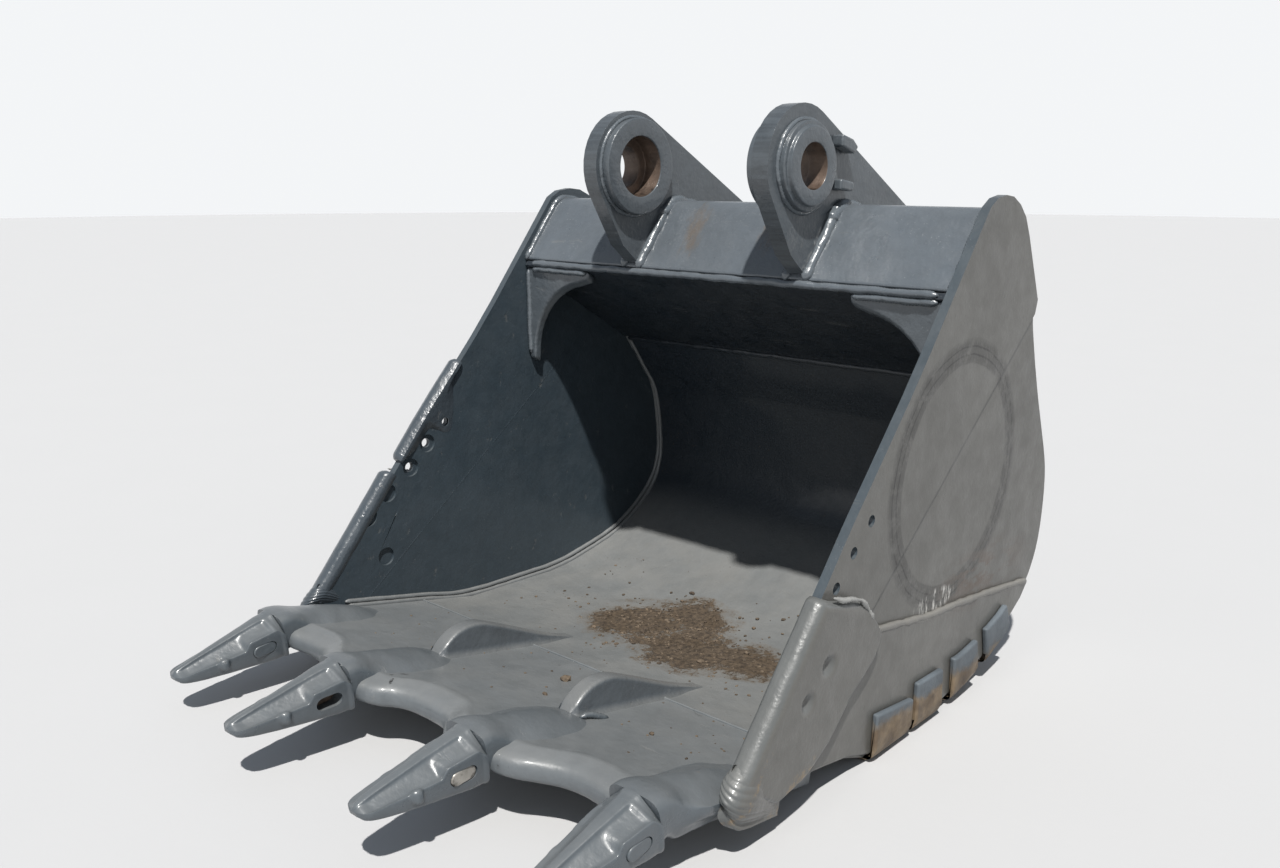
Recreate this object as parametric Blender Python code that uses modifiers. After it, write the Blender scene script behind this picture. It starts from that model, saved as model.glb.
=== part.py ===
"""Excavator digging bucket, modelled as the weldment and castings that it is made of.

Frame: X runs across the mouth, -Y points out of the mouth towards the teeth, +Z is up.
The origin is on the underside, at the middle of the flat stretch that the bucket rests on.
Units are metres. Side profiles are drawn in the (Y, Z) plane for an untapered bucket, and
splay() then leans both side walls inwards behind the leading edge, with all that they carry.
"""
import math

import bmesh
import bpy
from mathutils import Matrix, Vector

# ---- driving dimensions -------------------------------------------------------------------
GAP = 0.0003                    # between pieces that touch
MOUTH_WIDTH = 1.300             # over the side bars, at the leading edge
SIDE_BAR_THICK = 0.020
SIDE_PLATE_THICK = 0.016
WEAR_THICK = 0.010              # side wear plates
SHROUD_THICK = 0.024            # side shrouds, outside the side bars
STRIP_THICK = 0.012             # bottom strips and the underside of the heel shrouds
WRAP_THICK = 0.018
BOX_WALL = 0.016                # torque tube and back plates
LIP_THICK = 0.050
LIP_SLOPE = math.atan(0.189)    # the floor rises towards the teeth
SIDE_TAPER = 0.040              # inward lean of each side per metre behind the leading edge

BAR_IN = MOUTH_WIDTH / 2 - SIDE_BAR_THICK     # inner face of the sides
BAR_OUT = MOUTH_WIDTH / 2
PLATE_OUT = BAR_IN + SIDE_PLATE_THICK
WEAR_OUT = PLATE_OUT + GAP + WEAR_THICK
SPAN = BAR_IN - GAP                           # half width of what fits between the sides

# leading edge of a side bar, from the lip up to the shoulder below its rounded top
LEADING_EDGE = [(-0.600, 0.105), (-0.400, 0.347), (-0.250, 0.530), (-0.080, 0.722),
                (0.060, 0.895), (0.198, 1.074)]
TOP_OF_BAR = [(0.228, 1.091), (0.267, 1.097), (0.303, 1.093), (0.340, 1.076),
              (0.372, 1.050), (0.399, 1.010), (0.478, 0.867)]
SEAM_TOP = (0.470, 0.836)                     # weld between side bar and side plate
SEAM_FOOT = (-0.497, 0.066)
EDGE_POINT = Vector((-0.350, 0.404))          # the taper is measured from this edge line
EDGE_NORMAL = Vector((0.773, -0.635))

# inside of the wrap, from the lip's rear edge along the floor and up the back
FLOOR_Z = STRIP_THICK + GAP + WRAP_THICK
LIP_REAR = Vector((-0.300, 0.059))
FLOOR_END = Vector((LIP_REAR.x + (LIP_REAR.y - FLOOR_Z) / math.tan(LIP_SLOPE), FLOOR_Z))
WRAP_INSIDE = [(0.090, FLOOR_Z), (0.150, 0.0325), (0.250, 0.048),
               (0.417, 0.096), (0.545, 0.186), (0.592, 0.270), (0.598, 0.360),
               (0.579, 0.492), (0.527, 0.578), (0.464, 0.674)]

# torque tube, outer skin: from its lower front edge over the rounded top and down the back
TUBE_FRONT = (0.097, 0.912)
TUBE_TOP_CENTRE = (0.247, 1.019)
TUBE_TOP_RADIUS = 0.053
TUBE_BACK_CENTRE = (0.312, 1.008)
TUBE_BACK_RADIUS = 0.046
TUBE_HEEL = (0.455, 0.868)
BACK_FOOT = (0.4985, 0.688)                   # outer face of the outer back plate, at the wrap
INNER_PLATE_FRONT = Vector((0.094, 0.896))    # bowl face of the inner back plate
INNER_PLATE_FOOT = Vector((0.4625, 0.6685))

# ears and their pin hubs
EAR_IN = {"left": 0.220, "right": 0.232}       # inner faces of the ears, from the middle
EAR_THICK = 0.042
HUB_IN = 0.196                  # end faces of the hubs
HUB_OUT = 0.301
HUB_PLAY = 0.0005               # all round, between hub and ear
FRONT_BODY = 0.095              # radii of the hubs where they pass through the ears
REAR_BODY = 0.078
FRONT_PIN = (0.090, 1.154)
REAR_PIN = (0.545, 0.925)
FRONT_NOSE = 0.130
REAR_NOSE = 0.106
HUB_STEPS = 36

# teeth: two at the corners and two further forward on the curved lip
TOOTH_X = {"left_corner": -0.568, "left_centre": -0.210, "right_centre": 0.210,
           "right_corner": 0.568}
COLLAR_Y = {"corner": -0.745, "centre": -0.806}
TOOTH_PITCH = {"corner": math.radians(8.5), "centre": math.radians(5.0)}
COLLAR_HEIGHT = 0.092
LIP_FRONT = {"corner": 0.398, "centre": 0.460}   # ahead of the lip's rear edge, in its slots
TIP_LENGTH = 0.240
TIP_WIDTH = 0.122
LEG_WIDTH = 0.104

# bolt holes along each side bar, behind the leading edge
OPEN_HOLES = [(-0.193, 0.512), (-0.250, 0.464), (-0.304, 0.410)]
FILLED_HOLES = [(-0.375, 0.357), (-0.434, 0.307), (-0.494, 0.265), (-0.551, 0.218),
                (-0.392, 0.196)]
BOLT_RADIUS = 0.012
COUNTERBORE_RADIUS = 0.023
COUNTERBORE_DEPTH = 0.007

SIDES = {"left": -1, "right": 1}

PAINT = (0.135, 0.158, 0.178)
DARK_PAINT = (0.090, 0.105, 0.120)
WORN = (0.235, 0.165, 0.105)
BARE = (0.330, 0.270, 0.215)


# ---- scene helpers ------------------------------------------------------------------------
def clear_scene():
    for obj in list(bpy.data.objects):
        bpy.data.objects.remove(obj, do_unlink=True)


def collection(name):
    group = bpy.data.collections.new(name)
    bpy.context.scene.collection.children.link(group)
    return group


def material(name, colour, roughness=0.45, metallic=0.0):
    mat = bpy.data.materials.new(name)
    mat.use_nodes = True
    shader = mat.node_tree.nodes["Principled BSDF"]
    shader.inputs["Base Color"].default_value = (*colour, 1.0)
    shader.inputs["Roughness"].default_value = roughness
    shader.inputs["Metallic"].default_value = metallic
    return mat


def add_mesh(name, mesh, look, group):
    mesh.name = name
    obj = bpy.data.objects.new(name, mesh)
    mesh.materials.clear()
    if look is not None:
        mesh.materials.append(material(name, *look))
    group.objects.link(obj)
    return obj


def cut(obj, cutter):
    cutter.hide_render = True
    cutter.display_type = "WIRE"
    mod = obj.modifiers.new(cutter.name, "BOOLEAN")
    mod.operation = "DIFFERENCE"
    mod.object = cutter


# ---- geometry helpers ---------------------------------------------------------------------
def smooth(points, per_span=5):
    """Catmull-Rom curve through the points."""
    pts = [Vector(p) for p in points]
    pts = [2 * pts[0] - pts[1]] + pts + [2 * pts[-1] - pts[-2]]
    path = []
    for a, b, c, d in zip(pts, pts[1:], pts[2:], pts[3:]):
        for step in range(per_span):
            t = step / per_span
            path.append(0.5 * (2 * b + (c - a) * t + (2 * a - 5 * b + 4 * c - d) * t ** 2
                               + (3 * b - a - 3 * c + d) * t ** 3))
    path.append(pts[-2])
    return path


def arc(centre, radius, start, end, steps):
    """Points on an arc; angles in degrees, measured from +Y towards +Z."""
    points = []
    for step in range(steps + 1):
        angle = math.radians(start + (end - start) * step / steps)
        points.append(Vector((centre[0] + radius * math.cos(angle),
                              centre[1] + radius * math.sin(angle))))
    return points


def circle(centre, radius, steps=24):
    return arc(centre, radius, 0, 360 - 360 / steps, steps - 1)


def offset(path, distance):
    """Path moved to its left by distance, point by point along the mean normal."""
    pts = [Vector(p) for p in path]
    moved = []
    for i, point in enumerate(pts):
        before = (point - pts[i - 1]).normalized() if i > 0 else None
        after = (pts[i + 1] - point).normalized() if i < len(pts) - 1 else None
        before = before or after
        after = after or before
        along = (before + after).normalized()
        stretch = 1 / max(along.dot(before), 0.5)
        moved.append(point + Vector((-along.y, along.x)) * distance * stretch)
    return moved


def belt(centre_a, radius_a, centre_b, radius_b):
    """Angles, in degrees, of the upper tangent line from circle a to circle b."""
    gap = Vector(centre_b) - Vector(centre_a)
    lean = math.asin((radius_a - radius_b) / gap.length)
    return math.degrees(math.atan2(gap.y, gap.x) + math.pi / 2 - lean)


def splay(mesh):
    """Lean the sides inwards, in proportion to the distance behind the leading edge."""
    for vert in mesh.vertices:
        x, y, z = vert.co
        behind = (Vector((y, z)) - EDGE_POINT).dot(EDGE_NORMAL)
        reach = min(abs(x) / BAR_IN, 1.0)
        vert.co.x = x - math.copysign(SIDE_TAPER * behind * reach, x)


def welded(mesh):
    bm = bmesh.new()
    bm.from_mesh(mesh)
    bmesh.ops.remove_doubles(bm, verts=bm.verts, dist=0.00001)
    bmesh.ops.recalc_face_normals(bm, faces=bm.faces)
    bm.to_mesh(mesh)
    bm.free()
    return mesh


def sheet_metal(outline, thickness, holes=()):
    """Mesh of a flat plate: a filled 2D curve with its holes, extruded both ways."""
    curve = bpy.data.curves.new("outline", "CURVE")
    curve.dimensions = "2D"
    curve.fill_mode = "BOTH"
    curve.extrude = thickness / 2
    for loop in [outline, *holes]:
        spline = curve.splines.new("POLY")
        spline.points.add(len(loop) - 1)
        for point, corner in zip(spline.points, loop):
            point.co = (corner[0], corner[1], 0.0, 1.0)
        spline.use_cyclic_u = True
    carrier = bpy.data.objects.new("outline", curve)
    bpy.context.scene.collection.objects.link(carrier)
    graph = bpy.context.evaluated_depsgraph_get()
    mesh = bpy.data.meshes.new_from_object(carrier.evaluated_get(graph))
    bpy.data.objects.remove(carrier)
    bpy.data.curves.remove(curve)
    return welded(mesh)


def frame_matrix(origin, along, up):
    """Matrix that puts a drawing's X on along and its Y on up, at the origin point."""
    normal = Vector(along).cross(Vector(up))
    rows = Matrix((along, up, normal)).transposed().to_4x4()
    return Matrix.Translation(origin) @ rows


def side_plate_shape(outline, x_low, x_high, holes=()):
    """Plate drawn in (Y, Z) that fills x_low to x_high."""
    mesh = sheet_metal(outline, x_high - x_low, holes)
    centre = ((x_low + x_high) / 2, 0, 0)
    mesh.transform(frame_matrix(centre, (0, 1, 0), (0, 0, 1)))
    return mesh


def side_range(sign, inner, outer):
    return (inner, outer) if sign > 0 else (-outer, -inner)


def lip_point(x, ahead, above):
    """Point given by its distance ahead of the lip's rear edge and above the lip's top."""
    run, rise = math.cos(LIP_SLOPE), math.sin(LIP_SLOPE)
    return Vector((x, LIP_REAR.x - ahead * run + above * rise,
                   LIP_REAR.y + ahead * rise + above * run))


def lip_profile(points):
    """(ahead, above) pairs turned into (Y, Z) pairs."""
    return [lip_point(0, ahead, above).yz for ahead, above in points]


def loft(rings, cap=None):
    """Closed mesh through rings of equal length; cap lists the faces that close an end."""
    bm = bmesh.new()
    rows = [[bm.verts.new(point) for point in ring] for ring in rings]
    count = len(rings[0])
    for low, high in zip(rows, rows[1:]):
        for i in range(count):
            j = (i + 1) % count
            bm.faces.new((low[i], low[j], high[j], high[i]))
    for face in cap or [range(count)]:
        bm.faces.new([rows[0][i] for i in reversed(face)])
        bm.faces.new([rows[-1][i] for i in face])
    bmesh.ops.triangulate(bm, faces=[f for f in bm.faces if len(f.verts) > 4])
    bmesh.ops.recalc_face_normals(bm, faces=bm.faces)
    mesh = bpy.data.meshes.new("loft")
    bm.to_mesh(mesh)
    bm.free()
    return mesh


def rounded_box(width, height, radius, steps=3):
    """Closed ring of (across, up) pairs round a rectangle with rounded corners."""
    ring = []
    for turn, (sx, sy) in enumerate([(1, 1), (-1, 1), (-1, -1), (1, -1)]):
        centre = (sx * (width / 2 - radius), sy * (height / 2 - radius))
        ring += arc(centre, radius, 90 * turn, 90 * turn + 90, steps)
    return ring


def turned(name, profile, look, group):
    """Ring turned about its own Z axis; the profile is (radius, height) pairs."""
    mesh = bpy.data.meshes.new(name)
    count = len(profile)
    edges = [(i, (i + 1) % count) for i in range(count)]
    mesh.from_pydata([(radius, 0, height) for radius, height in profile], edges, [])
    obj = add_mesh(name, mesh, look, group)
    screw = obj.modifiers.new("turn", "SCREW")
    screw.steps = HUB_STEPS
    screw.render_steps = HUB_STEPS
    screw.use_merge_vertices = True
    screw.merge_threshold = 0.00001
    screw.use_smooth_shade = True
    return obj


# ---- shell --------------------------------------------------------------------------------
def wrap_path():
    return [LIP_REAR, FLOOR_END] + smooth(WRAP_INSIDE, 3)


def tube_path():
    """Outer skin of the torque tube, front edge to heel."""
    front = belt(TUBE_FRONT, 0.0, TUBE_TOP_CENTRE, TUBE_TOP_RADIUS)
    over = belt(TUBE_TOP_CENTRE, TUBE_TOP_RADIUS, TUBE_BACK_CENTRE, TUBE_BACK_RADIUS)
    back = belt(TUBE_BACK_CENTRE, TUBE_BACK_RADIUS, TUBE_HEEL, 0.0)
    return ([Vector(TUBE_FRONT)]
            + arc(TUBE_TOP_CENTRE, TUBE_TOP_RADIUS, front, over, 6)
            + arc(TUBE_BACK_CENTRE, TUBE_BACK_RADIUS, over, back, 5)
            + [Vector(TUBE_HEEL)])


def add_wrap(parts):
    inside = wrap_path()
    outline = inside + list(reversed(offset(inside, -WRAP_THICK)))
    mesh = side_plate_shape(outline, -SPAN, SPAN)
    splay(mesh)
    add_mesh("wrap_plate", mesh, (PAINT, 0.5), parts)


def add_torque_tube(parts):
    skin = tube_path()
    lining = offset(skin, -BOX_WALL)
    lining[0] += (skin[1] - skin[0]).normalized() * 0.007     # it stands on the sloping plate
    mesh = side_plate_shape(skin + list(reversed(lining)), -SPAN, SPAN)
    splay(mesh)
    add_mesh("torque_tube", mesh, (PAINT, 0.4), parts)


def add_back_plates(parts):
    slope = (INNER_PLATE_FOOT - INNER_PLATE_FRONT).normalized()
    up = Vector((-slope.y, slope.x))
    inner = [INNER_PLATE_FRONT, INNER_PLATE_FOOT, INNER_PLATE_FOOT + up * BOX_WALL
             - slope * 0.010, INNER_PLATE_FRONT + up * BOX_WALL]
    mesh = side_plate_shape(inner, -SPAN, SPAN)
    splay(mesh)
    add_mesh("inner_back_plate", mesh, (DARK_PAINT, 0.5), parts)

    top = Vector(TUBE_HEEL).lerp(Vector(BACK_FOOT), 0.03)
    outer = [top, Vector(BACK_FOOT)]
    outline = outer + list(reversed(offset(outer, -BOX_WALL)))
    mesh = side_plate_shape(outline, -SPAN, SPAN)
    splay(mesh)
    add_mesh("outer_back_plate", mesh, (PAINT, 0.45), parts)


def add_diaphragms(parts):
    """Stiffeners inside the tube, in line with the ears."""
    clear = BOX_WALL + 0.001
    skin = offset(tube_path(), -clear)
    slope = (INNER_PLATE_FOOT - INNER_PLATE_FRONT).normalized()
    up = Vector((-slope.y, slope.x)) * clear
    outline = skin[1:-1] + [Vector((0.434, 0.868)), Vector((0.470, 0.706))]
    outline += [INNER_PLATE_FOOT + up - slope * 0.030, INNER_PLATE_FRONT + up + slope * 0.030]
    for name, sign in SIDES.items():
        low, high = side_range(sign, EAR_IN[name] + 0.010, EAR_IN[name] + EAR_THICK - 0.010)
        mesh = side_plate_shape(outline, low, high)
        add_mesh("tube_diaphragm_" + name, mesh, (DARK_PAINT, 0.6), parts)


def add_gussets(parts):
    """Corner gussets under the tube: a flat plate with a concave free edge."""
    front, thick = 0.100, 0.022
    slope = INNER_PLATE_FOOT - INNER_PLATE_FRONT
    top = INNER_PLATE_FRONT.y + (front - INNER_PLATE_FRONT.x) * slope.y / slope.x - GAP
    free_edge = [(0.400 + 0.205 * math.sin(a), 0.665 + 0.200 * math.cos(a))
                 for a in (math.radians(9 * i) for i in range(1, 11))]
    outline = [(SPAN, top), (0.392, top), (0.396, top - 0.018)] + free_edge
    outline += [(0.608, 0.648), (SPAN, 0.648)]
    for name, sign in SIDES.items():
        mesh = sheet_metal([(sign * x, z) for x, z in outline], thick)
        mesh.transform(frame_matrix((0, front + thick / 2, 0), (1, 0, 0), (0, 0, 1)))
        for vert in mesh.vertices:
            vert.co.z += (vert.co.y - front) * slope.y / slope.x
        splay(mesh)
        add_mesh("corner_gusset_" + name, welded(mesh), (PAINT, 0.45), parts)


# ---- sides --------------------------------------------------------------------------------
def rear_outline():
    """Free edge of the side plate, from the seam's top round the heel to the floor."""
    back = [(0.4695, 0.8345), (0.478, 0.800), (0.510, 0.718), (0.549, 0.631), (0.595, 0.540),
            (0.632, 0.455), (0.643, 0.370), (0.636, 0.275), (0.606, 0.205), (0.552, 0.150),
            (0.430, 0.0755), (0.256, 0.0275), (0.125, 0.0120)]
    return smooth(back, 3)


def add_side_bars(parts, cutters):
    outline = edge_path() + [Vector(p) for p in TOP_OF_BAR]
    outline += [Vector(SEAM_TOP), Vector(SEAM_FOOT), Vector((-0.600, 0.066))]
    through = [circle(hole, BOLT_RADIUS, 16) for hole in OPEN_HOLES]
    for name, sign in SIDES.items():
        mesh = side_plate_shape(outline, *side_range(sign, BAR_IN, BAR_OUT), through)
        bores = bpy.data.meshes.new("bores")
        bm = bmesh.new()
        for hole in OPEN_HOLES + FILLED_HOLES:
            turn = Matrix.Rotation(math.pi / 2, 4, "Y")
            place = Matrix.Translation((sign * BAR_IN, *hole)) @ turn
            bmesh.ops.create_cone(bm, cap_ends=True, segments=24, radius1=COUNTERBORE_RADIUS,
                                  radius2=COUNTERBORE_RADIUS, depth=2 * COUNTERBORE_DEPTH,
                                  matrix=place)
        bm.to_mesh(bores)
        bm.free()
        splay(mesh)
        splay(bores)
        bar = add_mesh("side_bar_" + name, mesh, (PAINT, 0.4), parts)
        cut(bar, add_mesh("counterbores_" + name, bores, None, cutters))


def add_side_plates(parts):
    seam = offset([SEAM_FOOT, SEAM_TOP], -GAP)
    floor_edge = [Vector(p) for p in [(-0.158, 0.0120), (-0.230, 0.040), (-0.356, 0.062),
                                      (-0.450, 0.064)]]
    outline = seam + rear_outline() + floor_edge
    for name, sign in SIDES.items():
        mesh = side_plate_shape(outline, *side_range(sign, BAR_IN, PLATE_OUT))
        splay(mesh)
        add_mesh("side_plate_" + name, mesh, (PAINT, 0.45), parts)


def add_side_wear_plates(parts):
    top = [(-0.150, 0.280), (-0.076, 0.267), (0.050, 0.245), (0.186, 0.232), (0.334, 0.215),
           (0.497, 0.193), (0.572, 0.182)]
    bottom = [(0.540, 0.150), (0.420, 0.082), (0.256, 0.036), (0.120, 0.019), (-0.152, 0.019),
              (-0.230, 0.047), (-0.350, 0.068), (-0.392, 0.070), (-0.326, 0.112),
              (-0.255, 0.184), (-0.169, 0.244)]
    for name, sign in SIDES.items():
        low, high = side_range(sign, PLATE_OUT + GAP, WEAR_OUT)
        mesh = side_plate_shape(top + bottom, low, high)
        splay(mesh)
        add_mesh("side_wear_plate_" + name, mesh, (PAINT, 0.5), parts)


# side shroud: height on the leading edge, rear edge of its outer leg (Y, Z), inner depth
SHROUD_REAR = [(0.122, -0.500, 0.072, 0.004), (0.160, -0.415, 0.084, 0.008),
               (0.226, -0.334, 0.124, 0.010), (0.299, -0.262, 0.190, 0.010),
               (0.353, -0.178, 0.250, 0.010), (0.384, -0.162, 0.284, 0.010),
               (0.404, -0.240, 0.370, 0.008)]

# faces that close the section of an edge cap: outer leg, nose, inner leg
EDGE_CAP_END = [(0, 1, 9, 10), (1, 2, 9), (2, 3, 9), (3, 8, 9), (3, 4, 8), (4, 5, 8),
                (5, 6, 7, 8)]


def edge_ring(sign, point, forward, outer, inner, rear, depth_in, nose):
    """Section of a cap over the leading edge; forward points away from the bar.

    The outer leg ends at rear, a (Y, Z) point, and the inner leg depth_in behind the edge.
    """
    half = (BAR_OUT + BAR_IN) / 2
    inside = BAR_IN - GAP
    outside = BAR_OUT + GAP
    front = [(outer, nose * 0.45), (outer - 0.009, nose * 0.88), (half, nose),
             (inside, nose * 0.80), (inner, nose * 0.15), (inner, -depth_in),
             (inside, -depth_in), (inside, 0.001), (outside, 0.001)]
    section = [(outer, rear)] + [(x, point + forward * out) for x, out in front]
    section.append((outside, rear))
    return [Vector((sign * x, *place)) for x, place in section]


def edge_path():
    return smooth(LEADING_EDGE, 4)


def at_height(path, height):
    """Point of a rising path at the given height."""
    for low, high in zip(path, path[1:]):
        if low.y <= height <= high.y:
            return low.lerp(high, (height - low.y) / (high.y - low.y))
    return path[-1]


def blend(table, height):
    """Values at a height, from rows that start with their height."""
    for low, high in zip(table, table[1:]):
        if low[0] <= height <= high[0]:
            t = (height - low[0]) / (high[0] - low[0])
            return [a + (b - a) * t for a, b in zip(low[1:], high[1:])]
    return table[-1][1:]


def edge_cap(sign, table, outer, inner, nose):
    """Cap over the leading edge, between the first and last heights of its depth table."""
    path = edge_path()
    low, high = table[0][0], table[-1][0]
    heights = {row[0] for row in table} | {p.y for p in path if low < p.y < high}
    points = [at_height(path, height) for height in sorted(heights)]
    rings = []
    for i, point in enumerate(points):
        along = points[min(i + 1, len(points) - 1)] - points[max(i - 1, 0)]
        forward = Vector((-along.y, along.x)).normalized()
        rear_y, rear_z, depth_in = blend(table, point.y)
        rear = Vector((rear_y, rear_z))
        rings.append(edge_ring(sign, point, forward, outer, inner, rear, depth_in, nose))
    mesh = loft(rings, EDGE_CAP_END)
    splay(mesh)
    return mesh


def add_side_shrouds(parts):
    """Cast shrouds on the lower leading edges: deep outside, a narrow lip inside."""
    for name, sign in SIDES.items():
        mesh = edge_cap(sign, SHROUD_REAR, BAR_OUT + GAP + SHROUD_THICK, BAR_IN - 0.004, 0.024)
        add_mesh("side_shroud_" + name, mesh, (PAINT, 0.45), parts)


def behind_edge(height, depth):
    """Point (Y, Z) squarely behind the leading edge."""
    return at_height(edge_path(), height) + EDGE_NORMAL * depth


def add_edge_protector(parts, cutters):
    """Worn upper protector, on the left leading edge only, with a flap over one bolt hole."""
    depths = [(0.428, 0.018, 0.006), (0.453, 0.020, 0.016), (0.480, 0.022, 0.022),
              (0.505, 0.024, 0.020), (0.522, 0.024, 0.030), (0.530, 0.024, 0.070),
              (0.540, 0.024, 0.082), (0.556, 0.024, 0.077), (0.589, 0.024, 0.046),
              (0.621, 0.024, 0.016), (0.648, 0.020, 0.006), (0.664, 0.016, 0.003)]
    table = [(height, *behind_edge(height, out), inside) for height, out, inside in depths]
    mesh = edge_cap(-1, table, BAR_OUT + GAP + 0.014, BAR_IN - 0.009, 0.018)
    protector = add_mesh("edge_protector_left", mesh, (PAINT, 0.45), parts)
    hole = bpy.data.meshes.new("flap_hole")
    bm = bmesh.new()
    turn = Matrix.Rotation(math.pi / 2, 4, "Y")
    place = Matrix.Translation((-BAR_IN, *OPEN_HOLES[0])) @ turn
    bmesh.ops.create_cone(bm, cap_ends=True, segments=24, radius1=BOLT_RADIUS + 0.0005,
                          radius2=BOLT_RADIUS + 0.0005, depth=0.060, matrix=place)
    bm.to_mesh(hole)
    bm.free()
    splay(hole)
    cut(protector, add_mesh("flap_hole", hole, None, cutters))


# ---- wear parts under the heel --------------------------------------------------------------
def heel_path():
    """Bottom edge of the side plate, from the floor round the heel."""
    return [Vector((-0.157, 0.0120))] + list(reversed(rear_outline()))


def at_depth(path, y):
    """Point of a path, which runs towards +Y, at the given Y."""
    for a, b in zip(path, path[1:]):
        if a.x <= y <= b.x:
            return a.lerp(b, (y - a.x) / (b.x - a.x))
    return path[-1]


def stretch(path, y_from, y_to):
    """The stations of a path between two Y values, each with its outward step."""
    inside = [p for p in path if y_from + 0.002 < p.x < y_to - 0.002 and p.y < 0.3]
    points = [at_depth(path, y_from)] + inside + [at_depth(path, y_to)]
    return [(p, q - p) for p, q in zip(points, offset(points, -1.0))]


# faces that close the section of a heel shroud: the toe under the wrap, then the upright
HEEL_SHROUD_END = [(0, 1, 6, 7), (1, 5, 6), (1, 4, 5), (1, 2, 3, 4)]


def add_heel_shrouds(parts):
    """Four cast shrouds a side, each an angle round the bottom corner."""
    spans = [(-0.150, -0.002), (0.016, 0.134), (0.186, 0.306), (0.352, 0.468)]
    heights = [(0.096, 0.078), (0.104, 0.098), (0.100, 0.090), (0.090, 0.082)]
    inside = WEAR_OUT + 0.0006
    outside = inside + 0.014
    toe = 0.545
    for name, sign in SIDES.items():
        for number, (span, height) in enumerate(zip(spans, heights), start=1):
            stations = stretch(heel_path(), *span)
            rings = []
            for i, (point, out) in enumerate(stations):
                rise = height[0] + (height[1] - height[0]) * i / (len(stations) - 1)
                section = [(toe, GAP), (inside, GAP), (inside, -rise), (outside, -rise),
                           (outside, -0.020), (outside - 0.008, 0.0), (outside - 0.026,
                           STRIP_THICK), (toe, STRIP_THICK)]
                rings.append([Vector((sign * x, *(point + out * h))) for x, h in section])
            mesh = loft(rings, HEEL_SHROUD_END)
            splay(mesh)
            add_mesh("heel_shroud_%s_%d" % (name, number), mesh, (WORN, 0.7), parts)


def add_bottom_strips(parts):
    """Wear strips under the floor, which the bucket stands on."""
    path = offset(wrap_path(), -WRAP_THICK - GAP)
    path = [p for p in path if p.x > FLOOR_END.x + 0.004 and p.x < 0.50 and p.y < 0.20]
    path[0] = Vector((FLOOR_END.x + 0.006, path[0].y))
    outline = path + list(reversed(offset(path, -STRIP_THICK)))
    for name, x in {"left": -0.340, "centre": 0.0, "right": 0.340}.items():
        mesh = side_plate_shape(outline, x - 0.050, x + 0.050)
        add_mesh("bottom_wear_strip_" + name, mesh, (WORN, 0.7), parts)


# ---- lip and teeth ------------------------------------------------------------------------
def lip_outline():
    """Plan of the lip: (across, ahead) for the right half, scalloped between the teeth."""
    half = [(0.000, 0.443), (0.050, 0.447), (0.085, 0.463), (0.112, 0.489), (0.148, 0.500),
            (0.148, LIP_FRONT["centre"]), (0.272, LIP_FRONT["centre"]), (0.272, 0.500),
            (0.312, 0.490), (0.345, 0.466), (0.385, 0.442), (0.430, 0.433), (0.470, 0.436),
            (0.506, 0.441), (0.506, LIP_FRONT["corner"]), (0.612, LIP_FRONT["corner"]),
            (SPAN, 0.320), (SPAN, GAP)]
    left = [(-x, ahead) for x, ahead in reversed(half[1:])]
    return left + half


def add_lip(parts):
    mesh = sheet_metal(lip_outline(), LIP_THICK)
    along, ahead = Vector((1, 0, 0)), lip_point(0, 1, 0) - lip_point(0, 0, 0)
    mesh.transform(frame_matrix(lip_point(0, 0, -LIP_THICK / 2), along, ahead))
    splay(mesh)
    add_mesh("cutting_edge", mesh, (PAINT, 0.45), parts)


def tooth_frame(kind, x):
    """Matrix with X across, Y forward along the tooth and the origin in the collar."""
    ahead = (LIP_REAR.x - COLLAR_Y[kind]) / math.cos(LIP_SLOPE)
    centre = lip_point(x, ahead, 0.024 - COLLAR_HEIGHT / 2)
    pitch = TOOTH_PITCH[kind]
    forward = Vector((0, -math.cos(pitch), -math.sin(pitch)))
    return frame_matrix(centre, (-1, 0, 0), forward)


def tooth_rings(matrix, stations):
    """Rounded sections along a tooth: (forward, width, height, corner radius)."""
    rings = []
    for forward, width, height, radius in stations:
        ring = rounded_box(width, height, radius)
        rings.append([matrix @ Vector((across, forward, up)) for across, up in ring])
    return rings


NOSE = [(-0.036, 0.110, 0.082, 0.018), (-0.001, 0.120, 0.090, 0.022),
        (0.000, 0.088, 0.064, 0.012), (0.110, 0.062, 0.034, 0.010)]
POCKET = [(-0.020, 0.0905, 0.0680, 0.013), (0.000, 0.0900, 0.0660, 0.013),
          (0.113, 0.064, 0.036, 0.011)]
TIP = [(0.0008, TIP_WIDTH, COLLAR_HEIGHT, 0.022), (0.030, 0.120, 0.088, 0.020),
       (0.090, 0.106, 0.072, 0.018), (0.160, 0.090, 0.054, 0.016),
       (0.215, 0.074, 0.038, 0.014), (0.234, 0.058, 0.026, 0.011),
       (TIP_LENGTH, 0.034, 0.012, 0.005)]
PIN_FORWARD = 0.052


def pin_mesh(matrix, length, clearance):
    """Flattened retaining pin across the tooth."""
    half, radius = 0.012, 0.013 + clearance
    outline = arc((PIN_FORWARD + half, 0), radius, -90, 90, 8)
    outline += arc((PIN_FORWARD - half, 0), radius, 90, 270, 8)
    mesh = sheet_metal(outline, length)
    mesh.transform(matrix @ frame_matrix((0, 0, 0), (0, 1, 0), (0, 0, 1)))
    return mesh


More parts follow.
